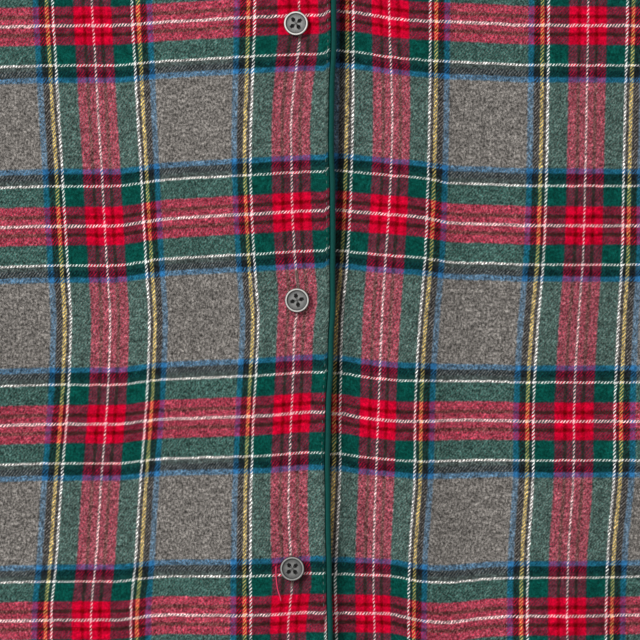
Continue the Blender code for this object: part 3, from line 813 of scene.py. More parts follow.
def make_collar():
    """The folded band, from the right front's centre round the back of the neck to the left front's."""
    start = math.asin(COLLAR_END / NECK_HALF)
    fronts = [lerp(start, math.pi / 2, k / 40) for k in range(41)]
    backs = [lerp(math.pi / 2, 0.0, k / 24) for k in range(25)]
    columns = []
    for side, order in ((-1, 1), (1, -1)):
        half = [(side, True, angle, None) for angle in fronts]
        half += [(side, None, math.pi / 2, k / 8) for k in range(1, 8)]
        half += [(side, False, angle, None) for angle in (backs if side < 0 else backs[:-1])]
        columns += half[::order]
    rows = [("stand", k / 6) for k in range(7)] + [("roll", k / 8) for k in range(1, 9)]
    rows += [("fall", k / 18) for k in range(1, 19)]

    def place(column, row):
        side, front, angle, turn = columns[column]
        band, share = rows[row]
        if turn is None:
            spot, height = collar_point(side, front, angle, band, share)
            return world(side, spot.x, spot.y, height)
        upper, high = collar_point(side, True, angle, band, share)
        low = collar_point(side, False, angle, band, share)[1]
        seam, roll, edge = collar_lines(True, angle)
        stand_out = Vector((-(roll - seam).y, (roll - seam).x)).normalized()
        fall_out = Vector(((edge - roll).y, -(edge - roll).x)).normalized()
        passed = {"stand": 0.0, "roll": smooth(share), "fall": 1.0}[band]
        out = stand_out.lerp(fall_out, passed).normalized()
        radius = (high - low) / 2
        spot = upper + out * radius * math.sin(math.pi * turn)
        return world(side, spot.x, spot.y, (high + low) / 2 + radius * math.cos(math.pi * turn))

    lengths = [0.0]
    for column in range(1, len(columns)):
        step = (place(column, 10) - place(column - 1, 10)).length * 1000
        lengths.append(lengths[-1] + step)
    middle = lengths[-1] / 2

    def fabric(column, row):
        band, share = rows[row]
        first, run = COLLAR_DEPTHS[band]
        return lengths[column] - middle + COLLAR_MATCH[0], first + run * share + COLLAR_MATCH[1]

    return cloth_sheet("collar_cloth", len(columns) - 1, len(rows) - 1, place, fabric)


# Piping

def piping_spot(drop):
    """Middle of the piping's cord at a drop, and the height that it rests at."""
    radius = PIPING_DIAMETER / 2
    reach = -(RIGHT_LAP + GAP + radius)
    under = front_height(1, -reach, drop) + CLOTH / 2
    spring = LAP_SPRING * seam_hold(0.0, drop, FRONT_NECK_DROP)
    return -reach + edge_stray(drop) - PIPING_TUCK, under + GAP + radius - PIPING_SPRING_SHARE * spring


def make_piping():
    """A soft cord of folded cloth along the right front's free edge, from the neck to the hem."""
    drops = graded(PIPING_TOP_DROP, (0.0025, hem_drop(0.017)))
    sides = 14

    def place(column, row):
        x, height = piping_spot(drops[row])
        angle = column / sides * 2 * math.pi
        near_end = min(row, len(drops) - 1 - row)
        size = (0.55, 0.88, 1.0)[min(2, near_end)]
        half_width = PIPING_WIDTH / 2 * size * (1 + 0.03 * math.sin(drops[row] * 310))
        half_height = (PIPING_DIAMETER / 2 - 0.00005) * size
        return world(1, x + half_width * math.cos(angle), drops[row], height + half_height * math.sin(angle))

    def fabric(column, row):
        return column / sides * PIPING_ROUND, -drops[row] * 1000

    piping = cloth_sheet("piping_cord", sides, len(drops) - 1, place, fabric, closed=True, wall=0.0)
    bpy.ops.object.mode_set(mode="EDIT")
    bpy.ops.mesh.select_all(action="DESELECT")
    bpy.ops.mesh.select_non_manifold()
    bpy.ops.mesh.edge_face_add()
    bpy.ops.object.mode_set(mode="OBJECT")
    face_outwards()
    return piping


# Buttons

def button_shape():
    """A turned disc built up ring by ring: foot, wall, pale rim and dished face, with four holes."""
    radius = BUTTON_DIAMETER / 2
    top = BUTTON_HEIGHT
    rings = [(0.74, 0.0), (0.94, 0.0003), (0.99, 0.0009), (1.0, 0.0015), (0.985, 0.0020)]
    rings += [(share, top - below) for share, below in (
        (0.955, 0.00020), (0.925, 0.00003), (0.885, 0.0), (0.845, 0.00006), (0.815, 0.00030),
        (0.790, 0.00058), (0.740, 0.00066), (0.60, 0.00064), (0.45, 0.00066), (0.25, 0.00068),
        (0.08, 0.00068))]
    deselect()
    bpy.ops.mesh.primitive_circle_add(vertices=80, radius=rings[0][0] * radius, fill_type="NGON")
    button = bpy.context.object
    bpy.ops.object.mode_set(mode="EDIT")
    for (old_share, old_height), (new_share, new_height) in zip(rings, rings[1:]):
        lift = {"value": (0.0, 0.0, new_height - old_height)}
        bpy.ops.mesh.extrude_region_move(TRANSFORM_OT_translate=lift)
        size = new_share / old_share
        bpy.ops.transform.resize(value=(size, size, 1.0))
    bpy.ops.object.mode_set(mode="OBJECT")
    face_outwards()
    off = BUTTON_HOLE_SPACING / 2
    depth = 3 * BUTTON_HEIGHT
    for x, y in ((-off, -off), (-off, off), (off, -off), (off, off)):
        deselect()
        bpy.ops.mesh.primitive_cylinder_add(vertices=24, radius=BUTTON_HOLE / 2, depth=depth,
                                            location=(x, y, BUTTON_HOLE_FLOOR + depth / 2))
        drill = bpy.context.object
        deselect()
        button.select_set(True)
        bpy.context.view_layer.objects.active = button
        cut = button.modifiers.new("hole", "BOOLEAN")
        cut.object = drill
        cut.solver = "EXACT"
        bpy.ops.object.modifier_apply(modifier="hole")
        bpy.data.objects.remove(drill)
    soften_edges(button, 50, 0.00010)
    bpy.ops.object.shade_smooth_by_angle(angle=math.radians(40))
    return button


def button_tone_with_painted_light(spot, pale):
    """How pale a spot of the button is painted before it is sewn on, 0 black to 1 the rim's best, painted
    shade and highlight included.
    """
    away = math.hypot(spot.x, spot.y) / (BUTTON_DIAMETER / 2)
    corner = Vector((abs(spot.x), abs(spot.y))) - Vector((1.0, 1.0)) * BUTTON_HOLE_SPACING / 2
    # Walls and floors of the holes are black: painted shade
    if corner.length < BUTTON_HOLE / 2 + 0.00003 and spot.z > 0.8 * BUTTON_HOLE_FLOOR:
        return 0.0
    # pale dims the dished face and the rim as painted shade on the less lit buttons
    face = 0.5 + 0.5 * pale
    # The outer wall below the rim is dark: painted shade
    if spot.z < 0.6 * BUTTON_HEIGHT and away > 0.7:
        return 0.10
    # From the middle out: the dished face, a dark ring in the groove inside the rim as painted shade, the
    # pale rim, partly worn and partly painted highlight, and a dark outer edge as painted shade
    knots = [(0.0, 0.60 * face), (0.45, 0.56 * face), (0.62, 0.47 * face), (0.74, 0.40 * face), (0.79, 0.24),
             (0.815, 0.28), (0.845, 0.85 * pale), (0.880, pale), (0.925, pale), (0.950, 0.70 * pale),
             (0.970, 0.12), (1.01, 0.05)]
    for (start, low), (end, high) in zip(knots, knots[1:]):
        if away <= end:
            return lerp(low, high, (away - start) / (end - start))
    return knots[-1][1]


def button_drop(number):
    return FIRST_BUTTON_DROP + BUTTON_PITCH * (number - 1) + BUTTONS[number - 1].drop


def button_seat(number):
    """Where a button's foot rests."""
    sewn = BUTTONS[number - 1]
    drop = button_drop(number)
    top = front_height(-1, -sewn.reach, drop) + CLOTH / 2
    return world(1, sewn.reach, drop, top + GAP)


def button_matrix(number):
    sewn = BUTTONS[number - 1]
    towards = math.radians(sewn.towards)
    tilt = Matrix.Rotation(math.radians(sewn.tilt), 4, Vector((-math.sin(towards), math.cos(towards), 0.0)))
    middle = Matrix.Translation((0.0, 0.0, BUTTON_HEIGHT / 2))
    turn = Matrix.Rotation(math.radians(sewn.turn), 4, "Z")
    return Matrix.Translation(button_seat(number)) @ middle @ tilt @ middle.inverted() @ turn


# Threads

def strand(points, thickness, sides, steps):
    """Corners and faces of a thread that thins at its ends, with steps from point to point."""
    path = []
    for a, b in zip(points, points[1:]):
        path += [a.lerp(b, k / steps) for k in range(steps)]
    path.append(points[-1])
    corners, faces = [], []
    for k, spot in enumerate(path):
        ahead = (path[min(k + 1, len(path) - 1)] - path[max(k - 1, 0)]).normalized()
        beside = ahead.cross(Vector((0.0, 0.0, 1.0)))
        beside = beside.normalized() if beside.length > 0.01 else Vector((1.0, 0.0, 0.0))
        above = beside.cross(ahead)
        size = thickness / 2 * (0.45 if k in (0, len(path) - 1) else 1.0)
        for j in range(sides):
            angle = j / sides * 2 * math.pi
            corners.append(spot + size * (math.cos(angle) * beside + math.sin(angle) * above))
    for k in range(len(path) - 1):
        for j in range(sides):
            a, b = k * sides + j, k * sides + (j + 1) % sides
            faces.append((a, b, b + sides, a + sides))
    faces.append(tuple(range(sides))[::-1])
    faces.append(tuple(range((len(path) - 1) * sides, len(path) * sides)))
    return corners, faces


def thread_piece(name, threads):
    """One piece from many threads, each given as its corners and faces."""
    corners, faces = [], []
    for thread_corners, thread_faces in threads:
        first = len(corners)
        corners += thread_corners
        faces += [tuple(first + index for index in face) for face in thread_faces]
    mesh = bpy.data.meshes.new(name)
    mesh.from_pydata(corners, [], faces)
    piece = bpy.data.objects.new(name, mesh)
    bpy.context.scene.collection.objects.link(piece)
    deselect()
    piece.select_set(True)
    bpy.context.view_layer.objects.active = piece
    face_outwards()
    bpy.ops.object.shade_smooth()
    return piece


def sewn_line(spots, seam):
    """Stitches along a dense line of points: each a short thread that dips at both ends."""
    travelled = [0.0]
    for a, b in zip(spots, spots[1:]):
        travelled.append(travelled[-1] + (b - a).length)

    def at(distance):
        k = min(max(0, bisect_right(travelled, distance) - 1), len(travelled) - 2)
        share = (distance - travelled[k]) / max(1e-9, travelled[k + 1] - travelled[k])
        return spots[k].lerp(spots[k + 1], min(1.0, share))

    rises = (-seam.sink, 0.10 * seam.thickness, 0.10 * seam.thickness, -seam.sink)
    threads = []
    for k in range(int(travelled[-1] / seam.pitch)):
        start = k * seam.pitch + 0.10 * seam.pitch * math.sin(k * 2.4)
        ends = [at(max(0.0, start + share * seam.length)) for share in (0.0, 0.25, 0.75, 1.0)]
        points = [end + Vector((0.0, 0.0, rise)) for end, rise in zip(ends, rises)]
        threads.append(strand(points, seam.thickness, sides=5, steps=1))
    return threads


def make_hem_stitches():
    """The stitching that holds the turned hems of both fronts and of both sleeves."""
    threads = []
    for side, first in ((-1, -RIGHT_LAP + 0.003), (1, 0.0195)):
        spots = []
        for reach in graded(first, (0.0016, HEM_HALF - 0.003)):
            drop = hem_drop(reach) - HEM_TURN
            height = front_height(side, reach, drop) + WALL / 2 + hem_relief(HEM_TURN)
            spots.append(world(side, reach, drop, height))
        threads += sewn_line(spots, HEM_STITCHING)
    for side in (-1, 1):
        along = 1 - HEM_TURN / SLEEVE_LENGTH
        spots = [sleeve_upper(side, k / 90, along) + Vector((0.0, 0.0, WALL / 2)) for k in range(2, 89)]
        threads += sewn_line(spots, HEM_STITCHING)
    return thread_piece("hem_stitches", threads)


def make_edge_stitches():
    """Small stitches that hold the piping in the lap's edge."""
    spots = []
    for drop in graded(0.101, (0.0030, 0.955)):
        reach = -(RIGHT_LAP - EDGE_STITCH_INSET)
        spots.append(world(-1, leaned(-1, reach, drop), drop, front_height(-1, reach, drop) + WALL / 2))
    return thread_piece("edge_stitches", sewn_line(spots, EDGE_STITCHING))


def make_collar_stitches():
    """The stitching a little inside the edge of the collar's fall."""
    threads = []
    for side in (-1, 1):
        start = math.asin(COLLAR_END / NECK_HALF)
        spots = []
        for k in range(141):
            angle = lerp(start, math.pi / 2, k / 140)
            seam, roll, edge = collar_lines(True, angle)
            share = 1 - COLLAR_STITCH_INSET / (edge - roll).length
            spot, height = collar_point(side, True, angle, "fall", share)
            spots.append(world(side, spot.x, spot.y, height + WALL / 2))
        threads += sewn_line(spots[4:], COLLAR_STITCHING)
    return thread_piece("collar_stitches", threads)


def make_buttonhole(number):
    """Two close rows of stitches beside the slit and a bar at each end, worked along the middle stripe."""
    middle = button_drop(number) + BUTTONHOLE_SLIPS[number - 1]
    threads = []

    def on_cloth(aside, drop, rise):
        x = spline(RIGHT_WARP_CHART, drop * 1000, 3) / 1000 + aside
        return world(1, x, drop, front_height(-1, -x, drop) + WALL / 2 + rise)

    steps = 33
    for side in (-1, 1):
        for k in range(steps + 1):
            drop = middle + (k / steps - 0.5) * (BUTTONHOLE_LENGTH - 0.0012)
            slant = 0.00016 * math.sin(k * 2.1 + number)
            outer = 0.00068 + 0.00011 * math.sin(k * 1.7 + number)
            points = [on_cloth(side * 0.00004, drop, -0.00008), on_cloth(side * 0.00022, drop, 0.00016),
                      on_cloth(side * 0.75 * outer, drop + slant, 0.00012),
                      on_cloth(side * outer, drop + slant, -0.00022)]
            threads.append(strand(points, HOLE_THREAD, sides=5, steps=1))
    for end in (-1, 1):
        for k in range(3):
            drop = middle + end * (BUTTONHOLE_LENGTH / 2 - 0.0002 - 0.0004 * k)
            points = [on_cloth(aside, drop, rise) for aside, rise in
                      ((-0.00070, -0.00015), (-0.0003, 0.00026), (0.0003, 0.00026), (0.00070, -0.00015))]
            threads.append(strand(points, BAR_THREAD, sides=5, steps=1))
    return thread_piece("buttonhole_%d" % number, threads)


def make_button_thread(number):
    """The sewing thread that crosses a button's face from hole to hole."""
    matrix = button_matrix(number)
    face = BUTTON_HEIGHT - BUTTON_DISH
    reach = BUTTON_HOLE_SPACING / math.sqrt(2) - 0.92 * BUTTON_HOLE / 2
    threads = []
    for k in (0, 1):
        angle = math.pi / 4 + k * math.pi / 2
        out = Vector((math.cos(angle), math.sin(angle), 0.0))
        beside = Vector((-out.y, out.x, 0.0)) * BUTTON_THREAD_ASIDE
        course = [(-reach - 0.0002, -0.0009), (-reach, -0.00005), (0.0, 0.00022 + 0.00022 * k),
                  (reach, -0.00005), (reach + 0.0002, -0.0009)]
        for sign in (-1, 1):
            points = [matrix @ (out * along + sign * beside + Vector((0.0, 0.0, face + rise)))
                      for along, rise in course]
            threads.append(strand(points, BUTTON_THREAD, sides=6, steps=2))
    return thread_piece("button_thread_%d" % number, threads)


def make_loose_thread():
    """A stray red thread that lies on the lap beside the fourth button."""
    points = []
    for x, down in LOOSE_COURSE:
        top = front_height(-1, -x / 1000, down / 1000) + WALL / 2
        points.append(world(1, x / 1000, down / 1000, top + 0.00018))
    return thread_piece("loose_thread", [strand(points, LOOSE_THREAD, sides=6, steps=4)])


# Materials

TO_MILLIMETRES = 1000.0
EYE_GAMMA = 2.2


class Tree:
    """Adds nodes to a node tree in a row: sockets given as inputs are linked, other values are set."""

    def __init__(self, tree):
        self.tree = tree
        self.count = 0

    def feed(self, inputs, values):
        for key, value in values.items():
            if isinstance(value, bpy.types.NodeSocket):
                self.tree.links.new(value, inputs[key])
            else:
                inputs[key].default_value = value

    def join(self, inputs, **values):
        """Feeds inputs by their names, with _ for a blank."""
        self.feed(inputs, {name.replace("_", " "): value for name, value in values.items()})

    def add(self, kind, inputs=None, **settings):
        """The outputs of a new node."""
        node = self.tree.nodes.new("ShaderNode" + kind)
        node.location = (self.count % 12 * 200 - 1400, 300 - self.count // 12 * 260)
        self.count += 1
        for name, value in settings.items():
            setattr(node, name, value)
        self.feed(node.inputs, inputs or {})
        return node.outputs

    def group(self, name, **inputs):
        return self.add("Group", inputs, node_tree=bpy.data.node_groups[name])

    def flecks(self, vector, size, stretch, contrast):
        made = self.group("fibre_speckle", Vector=vector, Size=size, Stretch=stretch, Contrast=contrast)
        return made["Value"]

    def noise(self, vector, detail, roughness=0.5):
        inputs = {"Vector": vector, "Scale": 1.0, "Detail": detail, "Roughness": roughness}
        return self.add("TexNoise", inputs)

    def bump(self, height, strength, distance):
        return self.add("Bump", {"Height": height, "Strength": strength, "Distance": distance})[0]

    def math(self, operation, *values):
        return self.add("Math", dict(enumerate(values)), operation=operation)[0]

    def plus(self, first, *others):
        for other in others:
            first = self.math("ADD", first, other)
        return first

    def minus(self, first, other):
        return self.math("SUBTRACT", first, other)

    def times(self, first, *others):
        for other in others:
            first = self.math("MULTIPLY", first, other)
        return first

    def larger(self, first, other):
        return self.math("MAXIMUM", first, other)

    def vector(self, operation, first, other):
        return self.add("VectorMath", {0: first, 1: other}, operation=operation)[0]

    def scale(self, vector, amount):
        return self.add("VectorMath", {0: vector, "Scale": amount}, operation="SCALE")[0]

    def mix(self, factor, a, b):
        return self.add("Mix", {0: factor, 2: a, 3: b}, data_type="FLOAT")[0]

    def blend(self, factor, a, b):
        return self.add("Mix", {0: factor, 6: a, 7: b}, data_type="RGBA", blend_type="MIX")[2]

    def range(self, value, low, high, new_low, new_high, kind="LINEAR"):
        inputs = {0: value, 1: low, 2: high, 3: new_low, 4: new_high}
        return self.add("MapRange", inputs, interpolation_type=kind)[0]

    def ramp(self, factor, stops):
        outputs = self.add("ValToRGB", {0: factor})
        elements = outputs[0].node.color_ramp.elements
        while len(elements) < len(stops):
            elements.new(0.5)
        for element, (place, colour) in zip(elements, stops):
            element.position = place
            element.color = colour
        return outputs


def new_group(name, values, outputs):
    """An empty shader node group: a Vector and values go in, outputs of the given kinds come out."""
    group = bpy.data.node_groups.new(name, "ShaderNodeTree")
    group.interface.new_socket(name="Vector", in_out="INPUT", socket_type="NodeSocketVector")
    for socket, default in values.items():
        made = group.interface.new_socket(name=socket, in_out="INPUT", socket_type="NodeSocketFloat")
        made.default_value = default
    for socket, kind in outputs.items():
        group.interface.new_socket(name=socket, in_out="OUTPUT", socket_type="NodeSocket" + kind)
    entry = group.nodes.new("NodeGroupInput")
    result = group.nodes.new("NodeGroupOutput")
    result.location = (1100, 0)
    return Tree(group), entry.outputs, result.inputs


def build_speckle_group():
    """Flecks of fibre: lighter and darker spots, drawn out along one way."""
    tree, entry, result = new_group("fibre_speckle", {"Size": 1.0, "Stretch": 1.0, "Contrast": 1.0},
                                    {"Value": "Float"})
    x, y, z = tree.add("SeparateXYZ", {0: entry["Vector"]})
    size = entry["Size"]
    runs = ((x, size), (y, tree.times(size, entry["Stretch"])), (z, size))
    spot = tree.add("CombineXYZ", {k: tree.math("DIVIDE", *run) for k, run in enumerate(runs)})[0]
    fine = tree.noise(spot, 3.0, 0.78)[0]
    tree.join(result, Value=tree.times(tree.minus(fine, 0.5), 2.6, entry["Contrast"]))


def build_twill_group():
    """A two-and-two twill: which yarn lies on top, and how high the cloth stands there."""
    tree, entry, result = new_group(
        "twill_weave", {"Across": TWILL_ACROSS, "Along": TWILL_ALONG, "Softness": 0.25},
        {"Warp on top": "Float", "Height": "Float", "Groove": "Float"})
    x, y, _ = tree.add("SeparateXYZ", {0: entry["Vector"]})
    end = tree.math("DIVIDE", x, entry["Across"])
    pick = tree.math("DIVIDE", y, entry["Along"])
    # Four ends and four picks make one repeat, and each yarn's step is partly smoothed
    stepped = [tree.plus(tree.times(yarn, 0.6), tree.times(tree.math("SNAP", yarn, 0.25), 0.4))
               for yarn in (end, pick)]
    wave = tree.times(tree.math("PINGPONG", tree.minus(*stepped), 0.5), 2.0)
    low, high = tree.minus(0.5, entry["Softness"]), tree.plus(0.5, entry["Softness"])
    on_top = tree.range(wave, low, high, 0.0, 1.0, "SMOOTHSTEP")
    off_edge = tree.math("ABSOLUTE", tree.minus(wave, 0.5))
    groove = tree.range(off_edge, 0.0, 0.30, 1.0, 0.0, "SMOOTHSTEP")
    round_end, round_pick = [tree.math("PINGPONG", tree.times(yarn, 4.0), 0.5) for yarn in (end, pick)]
    roundness = tree.mix(on_top, round_pick, round_end)
    height = tree.minus(tree.times(roundness, 0.8), tree.times(groove, 0.5))
    tree.join(result, Warp_on_top=on_top, Height=height, Groove=groove)


def band_stops(bands, colours):
    """Colour stops for a stripe set; a yarn's melange share rides in the alpha."""
    stops = []
    start = 0.0
    for k, (end, yarn) in enumerate(bands):
        colour = (*colours[yarn], YARN_MELANGE[yarn])
        stops.append((start / HALF_SETT, colour))
        if k < len(bands) - 1:
            edge = CRISP_EDGE if BRIGHT_YARNS & {yarn, bands[k + 1][1]} else SOFT_EDGE
            stops.append(((end - edge) / HALF_SETT, colour))
            start = end + edge
    return stops


def build_tartan_group(colours):
    """The tartan's two stripe sets, woven together.

    Yarns are mixed as the eye sees them, before the last node turns the result into light.
    """
    tree, entry, result = new_group("tartan_cloth", {"Melange": 0.5, "Twill": 0.5, "Mingle": 0.5},
                                    {"Color": "Color", "Height": "Float"})
    fabric = entry["Vector"]
    wobble = tree.vector("SUBTRACT", tree.noise(tree.scale(fabric, 0.35), 1.0)["Color"], (0.5, 0.5, 0.5))
    strayed = tree.vector("ADD", fabric, tree.scale(wobble, 0.9))
    stripes = []
    for place, bands in zip(tree.add("SeparateXYZ", {0: strayed}), (WARP_BANDS, WEFT_BANDS)):
        folded = tree.math("PINGPONG", place, HALF_SETT)
        stripes.append(tree.ramp(tree.math("DIVIDE", folded, HALF_SETT), band_stops(bands, colours)))
    warp, weft = stripes
    twill = tree.group("twill_weave", Vector=strayed, Across=TWILL_ACROSS, Along=TWILL_ALONG, Softness=0.22)
    flecks = tree.flecks(strayed, 1.05, 1.22, 1.0)
    stray_fibres = tree.flecks(tree.vector("ADD", strayed, (31.7, 12.3, 5.1)), 0.85, 1.15, 1.0)

    # Which yarns meet: bright stripes stand out by their green part, yellow and blue ones by their blue part
    _, warp_light, warp_blue = tree.add("SeparateColor", {0: warp["Color"]})
    _, weft_light, weft_blue = tree.add("SeparateColor", {0: weft["Color"]})
    bright_warp = tree.range(warp_light, 0.50, 0.70, 0.0, 1.0)
    bright = tree.larger(bright_warp, tree.range(weft_light, 0.50, 0.70, 0.0, 1.0))
    black = tree.math("COMPARE", warp["Alpha"], YARN_MELANGE["black"], 0.05)
    ink = tree.math("COMPARE", weft["Alpha"], YARN_MELANGE["ink"], 0.02)
    share = tree.larger(weft["Alpha"], warp["Alpha"])

    # How sharply the twill parts the yarns there, and how far their brushed fibres mingle
    contrast = tree.mix(bright, entry["Twill"], 1.10)
    contrast = tree.larger(contrast, tree.times(black, 0.70))
    contrast = tree.larger(contrast, tree.times(ink, 0.50))
    woven = tree.times(tree.minus(twill["Warp on top"], 0.5), contrast)
    mingle = tree.mix(bright, entry["Mingle"], tree.range(share, 0.60, 1.0, 0.14, 0.34))

    # The fluffier yarn covers more of the other one
    fluffier = tree.minus(warp["Alpha"], weft["Alpha"])
    lean = tree.times(fluffier, tree.range(bright, 0.0, 1.0, 0.12, -0.18))
    lean = tree.minus(lean, tree.times(bright_warp, 0.07))
    lean = tree.plus(lean, tree.times(black, 0.12), tree.range(weft_blue, 0.76, 0.92, 0.0, 0.28), 0.44)
    cover = tree.plus(woven, lean, tree.times(stray_fibres, mingle))
    cover = tree.add("Clamp", {0: cover})[0]

    # Yellow warp takes some of the colour that it crosses
    yellow = tree.times(bright_warp, tree.range(warp_blue, 0.50, 0.70, 1.0, 0.0))
    tint = tree.times(yellow, tree.range(weft["Alpha"], 0.60, 0.90, 0.18, 0.0))
    cloth = tree.blend(cover, weft["Color"], tree.blend(tint, warp["Color"], weft["Color"]))
    haze = tree.plus(tree.times(stray_fibres, 0.055), 0.045)
    cloth = tree.blend(tree.larger(haze, 0.0), cloth, (0.50, 0.485, 0.47, 1.0))

    # The melange and slow clouds of wear vary the tone, and the twill gets painted shade in its grooves and a
    # slight painted highlight on its floats
    tone = tree.plus(tree.times(flecks, share, entry["Melange"]), 1.0)
    for size, detail, swing in ((0.06, 3.0, 0.03), (0.26, 1.0, 0.12)):
        cloud = tree.noise(tree.scale(fabric, size), detail)[0]
        tone = tree.times(tone, tree.range(cloud, 0.3, 0.7, 1 - swing, 1 + swing))
    tone = tree.times(tone, tree.range(twill["Groove"], 0.0, 1.0, 1.02, 0.94))
    light = tree.add("Gamma", {0: tree.scale(cloth, tree.larger(tone, 0.15)), 1: EYE_GAMMA})[0]
    fuzz = tree.noise(tree.scale(fabric, 0.9), 3.0, 0.7)[0]
    tree.join(result, Color=light, Height=tree.plus(twill["Height"], tree.times(fuzz, 0.9)))


def new_material(name):
    """A material's tree and the inputs of its Principled shader."""
    finish = bpy.data.materials.new(name)
    finish.use_nodes = True
    return Tree(finish.node_tree), finish.node_tree.nodes["Principled BSDF"].inputs


def make_flannel(settings):
    build_tartan_group({yarn: tuple(getattr(settings, yarn)) for yarn in YARN_MELANGE})
    tree, shader = new_material("tartan_flannel_cloth")
    fabric = tree.add("UVMap", uv_map="fabric")[0]
    cloth = tree.group("tartan_cloth", Vector=fabric, Melange=settings.melange, Twill=settings.twill,
                       Mingle=settings.mingle)
    # The shade attribute darkens the cloth's colour: the piping's painted shadow
    shade = tree.add("Attribute", attribute_name="shade")["Fac"]
    tree.join(shader, Base_Color=tree.scale(cloth["Color"], tree.minus(1.0, shade)),
              Normal=tree.bump(cloth["Height"], 0.35, 0.0003), Roughness=0.95, Specular_IOR_Level=0.02,
              Sheen_Weight=0.03, Sheen_Roughness=0.5)


def make_piping_finish(trim):
    tree, shader = new_material("green_piping_cloth")
    fabric = tree.add("UVMap", uv_map="fabric")[0]
    weave = tree.group("twill_weave", Vector=fabric, Across=0.55, Along=0.60, Softness=0.45)
    # Flecks vary the piping's tone, and the twill's grooves darken it as painted shade
    tone = tree.times(tree.plus(tree.flecks(fabric, 0.55, 4.0, 0.35), 1.0),
                      tree.range(weave["Groove"], 0.0, 1.0, 1.0, 0.88))
    tree.join(shader, Base_Color=tree.scale(tuple(trim.piping), tone),
              Normal=tree.bump(weave["Height"], 0.25, 0.00012), Roughness=0.70, Specular_IOR_Level=0.10,
              Sheen_Weight=0.02, Sheen_Roughness=0.5)


def make_plastic(trim):
    """Smoke-grey plastic: each spot's tone, with painted shade and highlight in it, rides on the mesh, and
    clouds and flecks vary it.
    """
    tree, shader = new_material("smoke_plastic_button")
    spot = tree.scale(tree.add("TexCoord")["Object"], TO_MILLIMETRES)
    flecks = tree.flecks(spot, 0.7, 1.3, 0.30)
    tone = tree.plus(flecks, tree.flecks(spot, 3.0, 1.0, 0.22), 1.0)
    paleness = tree.add("Attribute", attribute_name="paleness")["Fac"]
    # The black stops are the painted shade of the holes, the groove and the wall; the last stop is the rim,
    # partly painted highlight
    shade = tree.ramp(paleness, [(0.0, (0.004, 0.004, 0.004, 1)), (0.25, (0.035, 0.036, 0.036, 1)),
                                 (0.45, (*trim.button, 1)), (0.60, (0.30, 0.30, 0.29, 1)),
                                 (1.0, (*trim.button_rim, 1))])
    tree.join(shader, Base_Color=tree.scale(shade["Color"], tone),
              Roughness=tree.range(flecks, -0.3, 0.3, 0.30, 0.42), Normal=tree.bump(flecks, 0.10, 0.0001),
              Specular_IOR_Level=0.4)


def make_thread_finish(name, colour):
    tree, shader = new_material(name)
    spot = tree.scale(tree.add("TexCoord")["Object"], TO_MILLIMETRES)
    turned = tree.add("Mapping", {"Vector": spot, "Rotation": (0.0, 0.0, math.radians(35))})[0]
    flecks = tree.flecks(turned, 0.22, 3.0, 0.5)
    tree.join(shader, Base_Color=tree.scale(tuple(colour), tree.plus(flecks, 1.0)),
              Normal=tree.bump(flecks, 0.4, 0.0001), Roughness=0.75, Specular_IOR_Level=0.25,
              Sheen_Weight=0.1)


def make_floor_paint(colour):
    tree, shader = new_material("pale_floor_paint")
    flecks = tree.flecks(tree.add("TexCoord")["Object"], 0.4, 1.0, 0.03)
    tree.join(shader, Base_Color=tree.scale(tuple(colour), tree.plus(flecks, 1.0)), Roughness=0.9,
              Specular_IOR_Level=0.2)


def dress(piece, finish):
    """Gives a piece the material of that name."""
    material = bpy.data.materials.get(finish)
    if material is None:
        raise RuntimeError("The material %s is made first" % finish)
    piece.data.materials.clear()
    piece.data.materials.append(material)


def hand_over(piece, finish, node=None):
    """Dresses a piece, hangs it on the root body, and hides the imported node that it stands for, where one
    is given.
    """
    dress(piece, finish)
    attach(piece, "root")
    if node:
        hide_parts(node)


# Settings, operators and panel

def colour_setting(name, description, default, kind="COLOR"):
    return FloatVectorProperty(name=name, description=description, subtype=kind, size=3, min=0.0, max=1.0,
                               default=default)


def yarn_setting(name, red, green, blue):
    """A yarn's colour as it is seen, each part from 0 to 255."""
    return colour_setting(name, name + " yarn", (red / 255, green / 255, blue / 255), "COLOR_GAMMA")


class FlannelSettings(bpy.types.PropertyGroup):
    """Yarns and finish of the tartan flannel."""
    red: yarn_setting("Red", 203, 7, 46)
    claret: yarn_setting("Claret", 100, 2, 8)
    green: yarn_setting("Green", 10, 70, 62)
    pine: yarn_setting("Pine", 30, 53, 53)
    black: yarn_setting("Black", 35, 34, 35)
    ink: yarn_setting("Ink", 16, 32, 40)
    grey: yarn_setting("Grey", 113, 109, 105)
    blue: yarn_setting("Blue", 46, 110, 164)
    yellow: yarn_setting("Yellow", 222, 190, 102)
    white: yarn_setting("White", 248, 244, 240)
    rose: yarn_setting("Rose", 255, 200, 202)
    melange: FloatProperty(name="Melange", description="Contrast of the mixed fibres", default=1.15,
                           min=0.0, max=2.0)
    twill: FloatProperty(name="Twill", description="How sharply the two yarns part in the weave",
                         default=0.21, min=0.0, max=1.0, subtype="FACTOR")
    mingle: FloatProperty(name="Mingle", description="How far brushed fibres stray over the other yarn",
                          default=0.28, min=0.0, max=3.0)


class TrimSettings(bpy.types.PropertyGroup):
    """Colours of the piping, buttons and threads."""
    piping: colour_setting("Piping", "Piping along the lap", (0.0036, 0.071, 0.061))
    button: colour_setting("Buttons", "Smoke plastic of the buttons", (0.180, 0.180, 0.176))
    # The pale rim is partly worn plastic and partly painted highlight
    button_rim: colour_setting("Button rims", "Worn pale rims of the buttons", (0.820, 0.790, 0.750))
    hole_thread: colour_setting("Buttonholes", "Thread of the buttonholes", (0.185, 0.120, 0.105))
    seam_thread: colour_setting("Seams", "Thread of hems and edges", (0.090, 0.155, 0.138))
    button_thread: colour_setting("Button thread", "Thread that holds the buttons", (0.120, 0.118, 0.115))
    loose_thread: colour_setting("Loose thread", "Stray thread on the lap", (0.660, 0.040, 0.110))


